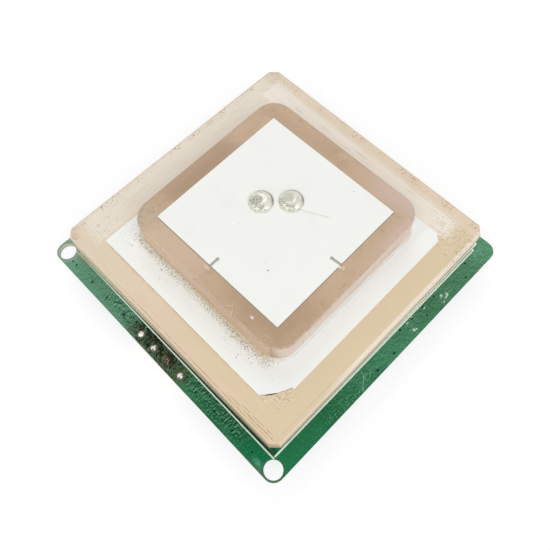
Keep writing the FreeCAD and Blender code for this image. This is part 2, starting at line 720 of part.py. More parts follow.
def status_light_base():
    """The status light's base plate with its two ends."""
    length, width, height = STATUS_LIGHT
    return hung(block(length, width, height, (0, 0), 0), in_strip(STATUS_LIGHT_FROM_FRONT))


def status_light_lens():
    """The status light's clear moulded lens."""
    base = STATUS_LIGHT[2]
    lens = block(STATUS_LENS_LENGTH, STATUS_LIGHT[1], STATUS_LENS_HEIGHT, (0, 0), base)
    lens = lens.makeChamfer(MARKED_EDGE_BEVEL, edges_at(lens, base + STATUS_LENS_HEIGHT))
    return hung(lens, in_strip(STATUS_LIGHT_FROM_FRONT))


def all_pieces():
    """Every piece of the module, by the name of its node."""
    pieces = {
        "circuit_board": circuit_board(),
        "outline_print": outline_print(),
        "lower_adhesive": lower_adhesive(),
        "lower_ground_coat": lower_ground(),
        "lower_ceramic": lower_ceramic(),
        "lower_patch": lower_patch(),
        "upper_adhesive": upper_adhesive(),
        "upper_ground_coat": upper_ground(),
        "upper_ceramic": upper_ceramic(),
        "upper_patch": upper_patch(),
        "socket_housing": socket_housing(),
        "shield_fence": shield_fence(),
        "shield_lid": shield_lid(),
        "receiver_chip": chip(RECEIVER, RECEIVER[3:]),
        "memory_chip": chip(MEMORY, MEMORY[3:]),
        "reference_oscillator": chip(OSCILLATOR, OSCILLATOR[3:]),
        "clock_crystal": chip(CLOCK_CRYSTAL, CLOCK_CRYSTAL[3:]),
        "upper_band_amplifier": chip(AMPLIFIER, UPPER_AMPLIFIER_PLACE),
        "lower_band_amplifier": chip(AMPLIFIER, LOWER_AMPLIFIER_PLACE),
        "upper_band_coupler": chip(COUPLER, between_feeds(UPPER_FEEDS)),
        "lower_band_coupler": chip(COUPLER, between_feeds(LOWER_FEEDS)),
        "chip_capacitors": chip_capacitors(),
        "supply_capacitors": supply_capacitors(),
        "backup_cell": backup_cell(),
        "cell_tab_under": cell_tab(-1),
        "cell_tab_over": cell_tab(1),
        "regulator_body": regulator_body(),
        "regulator_leads": regulator_leads(),
        "status_light_base": status_light_base(),
        "status_light_lens": status_light_lens(),
    }
    for side, feed in UPPER_FEEDS.items():
        pieces[f"upper_feed_pin_{side}"] = feed_pin(
            feed, UPPER_PATCH_TOP, UPPER_HEAD_DIAMETER, UPPER_HEAD_HEIGHT, UPPER_HEAD_BEVEL
        )
        pieces[f"upper_feed_solder_{side}"] = head_dome(feed)
        pieces[f"upper_tail_solder_{side}"] = tail_solder(feed)
    for side, feed in LOWER_FEEDS.items():
        pieces[f"lower_feed_pin_{side}"] = feed_pin(
            feed, LOWER_PATCH_TOP, LOWER_HEAD_DIAMETER, LOWER_HEAD_HEIGHT, 0
        )
        pieces[f"lower_feed_solder_{side}"] = head_solder(feed)
        pieces[f"lower_tail_solder_{side}"] = tail_solder(feed)
    for number, place in enumerate(UPPER_FILTER_PLACES, 1):
        pieces[f"upper_band_filter_{number}"] = chip(FILTER, place)
    for number, place in enumerate(LOWER_FILTER_PLACES, 1):
        pieces[f"lower_band_filter_{number}"] = chip(FILTER, place)
    for number, place in enumerate(CONTACT_PLACES, 1):
        pieces[f"socket_contact_{number}"] = socket_contact(place)
        pieces[f"contact_solder_{number}"] = contact_solder(place)
    return pieces


os.makedirs("parts", exist_ok=True)
for name, shape in all_pieces().items():
    shape.exportStep(f"parts/{name}.step")
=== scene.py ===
"""The looks of a satellite positioning module.

Two ceramic patch antennas are stacked on a green circuit board. Their silver
patches are white, and the feed pins end in two large solder joints. The
receiver is under a shield on the board's underside, beside a backup cell and a
four-way socket.

Sizes are in millimetres wherever a field or an argument holds one, and the
bench turns them into metres. Colours are the 0 to 255 levels that they show
in plain light.
"""

import logging
import math
import random
from dataclasses import dataclass
from enum import Enum
from typing import Any, Callable, Sequence

import bmesh
import bpy
from mathutils import Matrix, Vector, noise


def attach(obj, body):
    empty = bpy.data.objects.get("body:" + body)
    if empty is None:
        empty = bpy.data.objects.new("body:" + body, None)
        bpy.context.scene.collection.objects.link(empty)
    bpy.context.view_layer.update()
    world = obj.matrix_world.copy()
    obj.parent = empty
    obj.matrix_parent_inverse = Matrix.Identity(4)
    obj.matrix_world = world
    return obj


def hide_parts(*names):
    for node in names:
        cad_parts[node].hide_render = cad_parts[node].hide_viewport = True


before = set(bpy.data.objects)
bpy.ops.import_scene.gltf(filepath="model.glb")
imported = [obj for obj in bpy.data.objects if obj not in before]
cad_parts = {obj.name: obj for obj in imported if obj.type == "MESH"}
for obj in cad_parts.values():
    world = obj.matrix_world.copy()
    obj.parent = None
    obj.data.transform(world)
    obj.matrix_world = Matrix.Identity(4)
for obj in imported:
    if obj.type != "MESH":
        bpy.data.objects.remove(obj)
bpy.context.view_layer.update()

MM = 0.001
BOARD_TOP = 4.2
BOARD_BASE = 3.4
LOWER_MIDDLE = (-0.54, 0.65)
LOWER_TURN = 0.3
UPPER_MIDDLE = (-0.50, 0.90)
UPPER_TURN = 1.0
COAT_TOP = 12.60
FEED_JOINTS = {"left": (-2.89, 0.755), "back": (-0.335, 3.40)}
Levels = tuple[int, int, int]
Point = tuple[float, float]
Solid = tuple[float, float, float]
Socket = bpy.types.NodeSocket

logging.basicConfig(level=logging.INFO, format="%(message)s")
log = logging.getLogger("module")


def linear(levels: Sequence[float]) -> tuple[float, float, float, float]:
    """Turns 0 to 255 display levels into the linear colour that shows them.

    Args:
        levels: red, green and blue, from 0 to 255.

    Returns:
        The colour with full opacity.
    """
    parts = [level / 255.0 for level in levels]
    red, green, blue = (p / 12.92 if p <= 0.04045 else ((p + 0.055) / 1.055) ** 2.4 for p in parts)
    return (red, green, blue, 1.0)


def turned(point: Point, degrees: float) -> Point:
    """Turns a point in plan about the origin.

    Args:
        point: its x and y.
        degrees: the angle, anticlockwise.

    Returns:
        The turned point.
    """
    angle = math.radians(degrees)
    x = point[0] * math.cos(angle) - point[1] * math.sin(angle)
    y = point[0] * math.sin(angle) + point[1] * math.cos(angle)
    return (x, y)


def added(name: str, data: Any) -> bpy.types.Object:
    """Puts data into the scene.

    Args:
        name: what the object is called.
        data: a mesh, a curve, a lamp or a camera.

    Returns:
        The object that holds it.
    """
    made = bpy.data.objects.new(name, data)
    bpy.context.scene.collection.objects.link(made)
    return made


def peaked(along: float, base: float, peaks: Sequence[Solid]) -> float:
    """A level that has peaks along a line.

    Args:
        along: the place on the line.
        base: the level between the peaks.
        peaks: the middle, the width and the height of each.

    Returns:
        The level at the place.
    """
    for middle, width, height in peaks:
        base += height * math.exp(-((along - middle) / width) ** 2)
    return base


def fill(ramp: bpy.types.ColorRamp, stops: Sequence[tuple[float, Sequence[float]]]) -> None:
    """Gives a colour ramp its stops.

    Args:
        ramp: the ramp, with the two that it starts with.
        stops: the place of each and its linear colour.
    """
    for place, _ in stops[2:]:
        ramp.elements.new(place)
    for element, (place, colour) in zip(ramp.elements, stops):
        element.position = place
        element.color = colour


class Wires:
    """The shader nodes of one material or world."""

    def __init__(self, holder: bpy.types.Material | bpy.types.World) -> None:
        """Starts from an empty tree.

        Args:
            holder: what the nodes belong to.
        """
        holder.use_nodes = True
        self.tree = holder.node_tree
        self.tree.nodes.clear()

    def node(self, kind: str, inputs: dict[int | str, Any] | None = None, **settings: Any) -> bpy.types.Node:
        """Adds a node.

        Args:
            kind: the node's type.
            inputs: what each input gets, by its name or number.
            **settings: properties of the node.

        Returns:
            The node.
        """
        made = self.tree.nodes.new(kind)
        for name, value in settings.items():
            setattr(made, name, value)
        for key, value in (inputs or {}).items():
            self.feed(made.inputs[key], value)
        return made

    def feed(self, socket: Socket, value: Any) -> None:
        """Gives a socket its value or its link.

        Args:
            socket: the input.
            value: a number, a colour, a vector, another socket, or None to leave it as it is.
        """
        if isinstance(value, bpy.types.NodeSocket):
            self.tree.links.new(value, socket)
        elif value is not None:
            socket.default_value = value


class Brush(Wires):
    """Writes one procedural material on the piece's own coordinates, in millimetres."""

    def __init__(self, name: str) -> None:
        """Starts a material.

        Args:
            name: what the material is called.
        """
        self.material = bpy.data.materials.new(name)
        super().__init__(self.material)
        self.shader = self.node("ShaderNodeBsdfPrincipled")
        self.node("ShaderNodeOutputMaterial", {"Surface": self.shader.outputs["BSDF"]})
        own = self.node("ShaderNodeTexCoord").outputs["Object"]
        self.place = self.node("ShaderNodeVectorMath", {0: own, "Scale": 1.0 / MM}, operation="SCALE").outputs[0]
        self.x, self.y, self.z = self.node("ShaderNodeSeparateXYZ", {0: self.place}).outputs
        self.colour: Socket | None = None
        self.relief: Socket | None = None

    def calc(self, operation: str, *values: Any) -> Socket:
        """The result of a Math node, each value a number or a socket."""
        return self.node("ShaderNodeMath", dict(enumerate(values)), operation=operation).outputs[0]

    def times(self, *values: Any) -> Socket:
        """The product of all the values."""
        result = values[0]
        for value in values[1:]:
            result = self.calc("MULTIPLY", result, value)
        return result

    def most(self, *values: Any) -> Socket:
        """The greatest of the values."""
        result = values[0]
        for value in values[1:]:
            result = self.calc("MAXIMUM", result, value)
        return result

    def plus(self, first: Any, second: Any) -> Socket:
        """The sum of two values."""
        return self.calc("ADD", first, second)

    def minus(self, first: Any, second: Any) -> Socket:
        """The first value less the second."""
        return self.calc("SUBTRACT", first, second)

    def less(self, value: Any) -> Socket:
        """One minus the value."""
        return self.minus(1.0, value)

    def absolute(self, value: Any) -> Socket:
        """The value without its sign."""
        return self.calc("ABSOLUTE", value)

    def length(self, across: Any, along: Any) -> Socket:
        """The distance that two sides at right angles span."""
        return self.calc("SQRT", self.plus(self.times(across, across), self.times(along, along)))

    def sway(self, noise: Socket, reach: float) -> Socket:
        """A noise made to swing about zero."""
        return self.times(self.minus(noise, 0.5), reach)

    def rise(self, value: Any, low: float, high: float, to: float = 1.0) -> Socket:
        """A share that rises smoothly from nothing at low to its full height at high, which may be the smaller."""
        inputs = {"Value": value, "From Min": low, "From Max": high, "To Max": to}
        return self.node("ShaderNodeMapRange", inputs, interpolation_type="SMOOTHSTEP").outputs[0]

    def within(self, value: Any, low: float, high: float, soft: float) -> Socket:
        """One between two values and nothing outside; soft is half the width of each edge."""
        return self.times(self.rise(value, low - soft, low + soft), self.rise(value, high + soft, high - soft))

    def spot(self, middle: Point, radii: Point, soft: float = 0.3) -> Socket:
        """A round or long spot in plan.

        Args:
            middle: its middle.
            radii: its half sizes.
            soft: the share of the radius that its edge takes.

        Returns:
            The share, one inside.
        """
        across = self.calc("DIVIDE", self.minus(self.x, middle[0]), radii[0])
        along = self.calc("DIVIDE", self.minus(self.y, middle[1]), radii[1])
        return self.rise(self.length(across, along), 1.0 + soft, 1.0 - soft)

    def local(self, middle: Point, degrees: float) -> tuple[Socket, Socket]:
        """Places in plan as seen from something shifted and turned.

        Args:
            middle: its middle.
            degrees: its turn, anticlockwise.

        Returns:
            The place across and the place along it.
        """
        angle = math.radians(degrees)
        x, y = self.minus(self.x, middle[0]), self.minus(self.y, middle[1])
        across = self.plus(self.times(x, math.cos(angle)), self.times(y, math.sin(angle)))
        along = self.minus(self.times(y, math.cos(angle)), self.times(x, math.sin(angle)))
        return across, along

    def stretched(self, size: Solid, turn: float, shift: Solid = (0.0, 0.0, 0.0)) -> Socket:
        """Coordinates on which a pattern has a size each way, a turn in plan and a shift."""
        inputs = {"Vector": self.place, "Location": shift, "Rotation": (0.0, 0.0, math.radians(turn)), "Scale": size}
        return self.node("ShaderNodeMapping", inputs, vector_type="TEXTURE").outputs[0]

    def noise(
        self, size: float | Solid, detail: float = 4.0, rough: float = 0.55, swirl: float = 0.0,
        turn: float = 0.0, shift: Solid = (0.0, 0.0, 0.0),
    ) -> Socket:
        """Soft random values about a half.

        Args:
            size: the size of its clouds, one number or one each way.
            detail: how many finer layers it has.
            rough: the weight of the finer layers.
            swirl: how far it is distorted.
            turn: its turn in plan, in degrees.
            shift: how far the clouds are moved.

        Returns:
            The value.
        """
        sizes = (size, size, size) if isinstance(size, (int, float)) else size
        place = self.stretched(sizes, turn, shift)
        inputs = {"Vector": place, "Scale": 1.0, "Detail": detail, "Roughness": rough, "Distortion": swirl}
        return self.node("ShaderNodeTexNoise", inputs).outputs[0]

    def fold_light_and_shade(self, size: float | Solid, turn: float, shift: Solid, detail: float) -> Socket:
        """Light and shade painted for small folds, about zero: above it on the lit flank and below it on the shaded
        one.

        Args:
            size: the size of the folds, one number or one each way.
            turn: their turn in plan, in degrees.
            shift: the step from one flank towards the other.
            detail: how many finer layers they have.

        Returns:
            The value.
        """
        here = self.noise(size, detail, 0.55, 0.0, turn)
        there = self.noise(size, detail, 0.55, 0.0, turn, shift)
        return self.minus(here, there)

    def mix(self, under: Any, over: Any, share: Any) -> Socket:
        """One colour laid over another by a share; each colour is levels or a socket."""
        under, over = (linear(colour) if isinstance(colour, tuple) else colour for colour in (under, over))
        return self.node("ShaderNodeMix", {0: share, 6: under, 7: over}, data_type="RGBA").outputs[2]

    def lay(self, over: Any, *shares: Any) -> None:
        """Lays a colour over what is painted so far, as strongly as the product of the shares."""
        self.colour = self.mix(self.colour, over, self.times(*shares))

    def steps(self, value: Socket, stops: Sequence[tuple[float, Levels]]) -> Socket:
        """A colour that goes through several stops.

        Args:
            value: a share from 0 to 1.
            stops: places and their levels.

        Returns:
            The colour.
        """
        made = self.node("ShaderNodeValToRGB", {0: value})
        fill(made.color_ramp, [(place, linear(levels)) for place, levels in stops])
        return made.outputs[0]

    def bump(self, height: Socket, depth: float) -> None:
        """Adds relief, as high as depth where the height is 1."""
        inputs = {"Distance": depth * MM, "Height": height, "Normal": self.relief}
        self.relief = self.node("ShaderNodeBump", inputs).outputs[0]

    def done(self, rough: Any, metal: Any = 0.0, **others: float) -> bpy.types.Material:
        """Sets the shader and closes the material.

        Args:
            rough: roughness, a number or a socket.
            metal: the share of metal, a number or a socket.
            **others: further shader inputs, their spaces written as underscores.

        Returns:
            The material.
        """
        inputs = {"Base_Color": self.colour, "Roughness": rough, "Metallic": metal, "Normal": self.relief, **others}
        for name, value in inputs.items():
            self.feed(self.shader.inputs[name.replace("_", " ")], value)
        return self.material


@dataclass(frozen=True)
class SolderMask:
    """Green lacquer over the board, with a painted sheen that makes it paler at the left and back, and wrinkled at the
    front.
    """

    # The green by distance from the right front corner: deep there and paler away from it, a painted sheen.
    along: Sequence[tuple[float, Levels]] = (
        (0.0, (12, 112, 70)), (0.12, (22, 104, 62)), (0.27, (46, 119, 80)), (0.42, (70, 138, 100)),
        (0.60, (66, 124, 88)), (0.76, (76, 132, 98)), (0.92, (92, 150, 116)))
    laminate: Levels = (112, 128, 84)
    soot: Levels = (12, 18, 8)
    burnt: Sequence[tuple[float, Levels]] = (
        (0.36, (12, 18, 8)), (0.47, (36, 48, 26)), (0.54, (58, 76, 50)), (0.60, (118, 134, 108)), (0.68, (70, 96, 66)))
    # Painted shadow under the tile's foot.
    gap_shadow: Levels = (20, 34, 20)
    cream: Levels = (224, 217, 193)
    board_top: float = BOARD_TOP
    board_base: float = BOARD_BASE
    tile_middle: Point = LOWER_MIDDLE
    tile_turn: float = LOWER_TURN
    corner_middle: float = 19.6
    hole_left: Point = (-19.6, -19.6)
    hole_right: Point = (19.6, -19.6)
    scorch_and_shade_spots: Sequence[tuple[Point, Point, float]] = (
        ((-2.1, -19.15), (1.15, 0.65), 0.95), ((-4.3, -19.6), (0.7, 0.6), 0.8), ((-0.1, -19.95), (0.8, 0.7), 0.8),
        ((1.5, -19.6), (0.9, 0.75), 0.8), ((3.0, -19.3), (0.5, 0.4), 0.6), ((4.55, -19.8), (0.45, 0.4), 0.7))
    chips: Sequence[tuple[Point, Point]] = (
        ((19.75, 10.69), (0.15, 0.17)), ((20.13, 11.31), (0.15, 0.16)), ((20.33, 11.05), (0.09, 0.28)),
        ((20.26, 4.65), (0.17, 0.14)), ((20.42, 4.98), (0.10, 0.12)), ((19.27, 7.79), (0.09, 0.16)),
        ((18.98, 5.69), (0.07, 0.14)), ((19.10, 4.74), (0.08, 0.16)), ((20.55, 10.3), (0.07, 0.18)))
    scratches: Sequence[tuple[Point, float, float]] = (
        ((20.22, -4.89), 128.8, 0.95), ((19.62, -4.20), 163.3, 0.55), ((20.05, -3.4), 118.0, 0.4))
    cell_middle: Point = (-16.75, 5.0)
    parts_below: Sequence[tuple[Point, Point]] = (
        ((-6.2, -21.2), (6.5, -18.5)), ((17.8, -7.0), (19.4, 3.8)), ((-18.9, -9.5), (-14.6, -7.3)),
        ((-18.9, -12.0), (-14.6, -9.8)), ((-18.8, -6.9), (-14.7, -4.0)), ((-18.0, -15.1), (-15.5, -13.7)),
        ((-12.9, -11.4), (16.9, 14.4)))

    def paint(self) -> bpy.types.Material:
        """The finished lacquer."""
        b = Brush("green_lacquer")
        top = b.rise(b.z, self.board_top - 0.03, self.board_top - 0.01)
        self.lacquer(b)
        self.marks(b, top)
        under = b.rise(b.z, self.board_base + 0.03, self.board_base + 0.01)
        b.lay(self.tracks(b), under)
        far_x, far_y = b.absolute(b.x), b.absolute(b.y)
        past_x, past_y = b.minus(far_x, self.corner_middle), b.minus(far_y, self.corner_middle)
        reach = b.plus(b.times(past_x, past_x), b.times(past_y, past_y))
        corner = b.times(b.rise(past_x, 0.0, 0.05), b.rise(past_y, 0.0, 0.05), b.rise(reach, 1.80, 1.90))
        outer = b.most(b.rise(b.most(far_x, far_y), 20.92, 20.97), corner)
        cut = b.times(b.less(top), b.less(under), b.most(outer, 0.12))
        edge = b.mix(self.laminate, (78, 100, 62), b.noise((2.0, 2.0, 0.07), 2.0))
        b.lay(edge, cut, 0.85)
        b.bump(b.noise(0.12, 3.0), 0.004)
        return b.done(b.plus(0.30, b.times(cut, 0.4)), Specular_IOR_Level=0.22)

    def lacquer(self, b: Brush) -> None:
        """The green itself: deep at the right front corner and paler away from it as a painted sheen, with wrinkles
        along the front that carry painted light and shade.

        Args:
            b: the brush.
        """
        # Painted sheen: the green grows paler with distance from the right front corner.
        sheen_distance = b.plus(b.minus(18.0, b.x), b.plus(b.y, 18.0))
        cloud = b.sway(b.noise(3.0, 3.0), 9.0)
        b.colour = b.steps(b.calc("DIVIDE", b.plus(sheen_distance, cloud), 40.0), self.along)
        patchy = b.noise((0.9, 0.7, 0.8), 4.0, 0.6)
        b.lay((22, 84, 56), b.rise(patchy, 0.52, 0.74, 0.3))
        # Painted sheen: paler green at the left of the front strip.
        left_sheen = b.times(b.rise(b.y, -18.0, -18.6), b.rise(b.x, -2.0, -8.0))
        b.lay((124, 178, 156), left_sheen, 0.32)
        wash = b.times(b.rise(b.x, 17.8, 18.8), b.rise(b.y, -9.0, -13.0))
        b.lay((44, 126, 82), wash, 0.4)
        fold = b.fold_light_and_shade((0.24, 0.46, 0.4), 28.0, (0.07, -0.06, 0.0), 2.5)
        front = b.times(b.rise(b.y, -18.2, -18.6), b.rise(b.x, 16.6, 13.0), b.rise(b.x, -18.6, -16.4))
        inner = b.rise(b.y, -20.75, -19.9)
        strong = b.times(
            front, b.plus(0.35, b.times(inner, 0.65)), b.plus(0.45, b.rise(b.x, -15.5, -7.0, 0.55)))
        side = b.times(b.rise(b.x, 18.0, 18.8), b.rise(b.y, -15.0, -8.0))
        share = b.most(strong, b.times(side, 0.38), 0.12)
        # Painted shade on one flank of each fold and a painted highlight on the other.
        b.lay((4, 50, 34), b.rise(fold, -0.005, -0.08), share, 0.95)
        b.lay((132, 188, 156), b.rise(fold, 0.02, 0.12), share, 0.7)
        b.bump(b.times(b.noise((0.24, 0.46, 0.4), 2.5, 0.55, 0.0, 28.0), share), 0.05)

    def marks(self, b: Brush, top: Socket) -> None:
        """Scratches, the stain of burnt flux, a painted glare, painted shadow and a painted shade line under the tile's
        foot, a pale band there painted lighter towards the back, and the bare rim of a hole; the walls of both holes
        are painted pale to lift their shade.

        Args:
            b: the brush.
            top: one on the upper face.
        """
        patchy = b.noise((0.42, 0.30, 0.4), 4.0, 0.7, 1.0)
        streak = b.noise((0.08, 0.36, 0.5), 3.0, 0.6, 0.5, 47.0)
        curl = b.noise((0.12, 0.22, 0.3), 2.0, 0.6, 1.0, 20.0)
        worn = b.most(b.spot((20.35, -8.4), (0.5, 4.8), 0.4), b.spot((19.9, -3.0), (0.8, 2.2), 0.4))
        flakes = b.most(
            b.spot((19.35, 5.4), (0.4, 1.1), 0.5), b.spot((20.05, 11.2), (0.55, 1.1), 0.5),
            b.spot((19.35, 18.2), (0.45, 1.2), 0.5), b.spot((20.1, 4.7), (0.5, 0.7), 0.5))
        b.lay((180, 220, 194), b.rise(streak, 0.62, 0.68), worn, top, 0.8)
        b.lay((210, 230, 208), b.rise(curl, 0.60, 0.64), flakes, top, 0.7)
        ragged = b.rise(b.noise(0.16, 3.0, 0.65, 0.6), 0.40, 0.50)
        for middle, radii in self.chips:
            b.lay((232, 246, 232), b.spot(middle, radii, 0.7), ragged, top, 0.95)
        for middle, turn, reach in self.scratches:
            x, y = b.local(middle, turn)
            b.lay((186, 220, 196), b.within(y, -0.03, 0.03, 0.03), b.within(x, -reach, reach, 0.3), top, 0.5)
        glare = b.spot((17.9, -20.35), (0.9, 0.35), 0.6)
        b.lay((96, 170, 140), glare, b.rise(patchy, 0.40, 0.56), 0.6)
        pooled = b.noise((1.0, 0.8, 0.8), 2.0, 0.5, 1.5, -35.0)
        stain = b.times(b.spot((-0.8, -20.1), (5.0, 2.3), 0.35), b.rise(pooled, 0.30, 0.44))
        swirl = b.noise((0.85, 0.36, 0.5), 2.0, 0.5, 2.6, -40.0)
        b.lay(b.steps(swirl, self.burnt), stain, top, 0.9)
        for middle, radii, share in self.scorch_and_shade_spots:
            b.lay(self.soot, b.spot(middle, radii, 0.6), b.rise(swirl, 0.60, 0.50), top, share)
        crumbs = b.rise(b.noise((0.13, 0.20, 0.2), 3.0, 0.65, 0.8, 40.0), 0.55, 0.62)
        b.lay((176, 168, 128), crumbs, b.spot((1.35, -19.85), (0.9, 0.8), 0.6), top, 0.85)
        halo = b.times(b.spot((3.9, -20.0), (0.95, 0.85), 0.5), b.rise(patchy, 0.38, 0.52))
        b.lay((84, 88, 48), halo, top, 0.7)
        x, y = b.local(self.tile_middle, self.tile_turn)
        # A pale cream band at the tile's foot, painted lighter towards the back to lift the wall's shade.
        pale_foot_band = b.most(
            b.times(b.rise(y, -19.30, -19.24), b.rise(x, 0.0, -6.0)),
            b.times(b.rise(x, 19.2, 19.14), b.rise(y, -17.5, -14.0)))
        pale_foot_band = b.times(pale_foot_band, b.plus(0.6, b.rise(b.noise(1.1, 3.0, 0.6), 0.34, 0.46, 0.4)))
        pale = b.mix(self.cream, (252, 250, 236), b.rise(y, -4.0, 4.0))
        inside = b.times(b.rise(x, 19.16, 19.10), b.rise(x, -19.14, -19.04), b.rise(y, 19.14, 19.04))
        b.lay(pale, pale_foot_band, inside, top, 0.95)
        # Painted shade: a thin dark line on the board at the tile's foot.
        shade_line = b.times(b.within(y, -19.21, -19.12, 0.03), b.rise(x, -14.0, -9.0), b.rise(x, 18.4, 18.0))
        b.lay((70, 76, 52), shade_line, top, 0.85)
        # Painted shadow: the board dark between the tile's foot and the print line.
        gap_shadow = b.times(b.within(y, -19.42, -19.10, 0.04), b.rise(x, -7.0, -1.0), b.rise(x, 18.6, 18.0))
        b.lay(self.gap_shadow, gap_shadow, top, 0.9)
        toe = b.times(b.within(y, -19.10, -18.9, 0.02), b.rise(x, 22.0, 0.0), b.rise(x, 18.9, 18.6))
        b.lay((226, 218, 190), toe, top, 0.9)
        shaded = b.spot((18.15, -18.25), (0.55, 0.45), 0.6)
        b.lay((26, 66, 38), shaded, top, 0.75)
        glue = b.times(b.spot((-17.5, -18.9), (1.3, 0.34), 0.6), b.rise(patchy, 0.34, 0.50))
        b.lay((134, 132, 104), glue, top, 0.65)
        rim = b.times(b.spot(self.hole_left, (1.72, 1.72), 0.08), b.rise(patchy, 0.30, 0.40))
        b.lay((134, 158, 138), rim, top, 0.9)
        past = b.less(b.spot(self.hole_right, (1.36, 1.36), 0.06))
        lip = b.times(past, b.rise(b.x, 17.6, 19.2), b.rise(b.y, -20.3, -20.6))
        rubbed = b.most(b.rise(b.x, 12.0, 18.0), b.within(b.x, -6.0, 0.5, 1.5))
        b.lay((98, 112, 86), b.most(lip, b.times(b.rise(b.y, -20.84, -20.92), rubbed)), top, 0.7)
        beside = b.less(b.spot(self.hole_right, (1.22, 1.22), 0.06))
        b.lay((106, 112, 98), beside, b.rise(b.x, 19.0, 19.5), b.rise(b.y, -19.2, -19.7), top, 0.85)
        # The walls of both holes are painted pale, lifting their shade.
        for hole in (self.hole_left, self.hole_right):
            b.lay((206, 212, 196), b.spot(hole, (1.28, 1.28), 0.05), b.less(top), 0.95)

    def tracks(self, b: Brush) -> Socket:
        """The green of the underside, paler over its copper, with tracks and the outlines of its parts.

        Args:
            b: the brush.

        Returns:
            The colour.
        """
        bare = b.mix((20, 88, 54), (16, 76, 48), b.rise(b.noise(2.0, 3.0), 0.4, 0.6))
        over_copper = b.mix((40, 122, 78), (34, 110, 70), b.rise(b.noise(0.7, 3.0), 0.4, 0.65))
        ways = self.off_middle(b, b.plus(b.x, 29.85), 2.5)
        from_socket = b.times(
            b.within(ways, 0.18, 0.36, 0.02), b.within(b.y, -18.6, -10.0, 0.05), b.within(b.x, -4.4, 4.7, 0.02))
        lanes = self.off_middle(b, b.plus(b.y, 40.0), 1.27)
        across = b.times(
            b.within(lanes, 0.14, 0.30, 0.02), b.within(b.x, -16.6, -12.0, 0.05), b.within(b.y, -16.2, 0.5, 0.05))
        down = b.times(b.within(b.x, -19.75, -19.58, 0.02), b.within(b.y, -16.5, 12.0, 0.05))
        edge = b.most(b.absolute(b.x), b.absolute(b.y))
        bare_share = b.most(from_socket, across, down, b.rise(edge, 20.35, 20.45))
        green = b.mix(over_copper, bare, bare_share)
        cell = self.cell_middle
        legend = b.times(b.spot(cell, (3.95, 3.95), 0.01), b.less(b.spot(cell, (3.80, 3.80), 0.01)))
        for low, high in self.parts_below:
            legend = b.most(legend, b.times(self.box(b, low, high, 0.0), b.less(self.box(b, low, high, 0.15))))
        printed = b.times(legend, b.rise(b.noise(0.12, 3.0, 0.7), 0.30, 0.42), 0.95)
        return b.mix(green, (238, 242, 234), printed)

    @staticmethod
    def off_middle(b: Brush, place: Socket, pitch: float) -> Socket:
        """The distance from the middle of the nearest cell of a row."""
        return b.times(b.absolute(b.minus(b.calc("FRACT", b.calc("DIVIDE", place, pitch)), 0.5)), pitch)

    @staticmethod
    def box(b: Brush, low: Point, high: Point, inset: float) -> Socket:
        """One inside a box in plan whose sides are drawn in by the inset."""
        across = b.within(b.x, low[0] + inset, high[0] - inset, 0.015)
        return b.times(across, b.within(b.y, low[1] + inset, high[1] - inset, 0.015))


@dataclass(frozen=True)
class Ink:
    """White legend ink, a little worn, and faint at its left front end."""

    white: Levels = (234, 250, 238)

    def paint(self) -> bpy.types.Material:
        """The finished ink."""
        b = Brush("white_legend_ink")
        b.colour = b.mix(self.white, (150, 190, 164), b.rise(b.noise(0.12, 4.0, 0.7), 0.42, 0.32, 0.5))
        faint = b.times(b.rise(b.x, -8.0, -15.5), b.rise(b.y, -17.6, -18.4))
        b.lay((130, 166, 140), faint, 0.55)
        thin = b.times(b.rise(b.y, -18.70, -18.66), b.rise(b.y, -18.4, -18.5))
        b.lay((120, 142, 116), thin, 0.75)
        b.bump(b.noise(0.08, 3.0), 0.01)
        return b.done(0.55)


@dataclass(frozen=True)
class GroundCorner:
    """The corner of the lower patch, ground off along a bowed cut."""

    start: Point = (13.07, -15.20)
    turn: float = 56.94
    length: float = 3.54
    bulge: float = 0.2

    def frame(self, b: Brush) -> tuple[Socket, Socket]:
        """Places as seen from the cut.

        Args:
            b: the brush.

        Returns:
            The distance out from the cut, and the place along it.
        """
        along, inward = b.local(self.start, self.turn)
        share = b.calc("DIVIDE", b.minus(along, self.length / 2), self.length / 2)
        bow = b.times(b.less(b.times(share, share)), self.bulge)
        return b.minus(b.times(inward, -1.0), bow), along


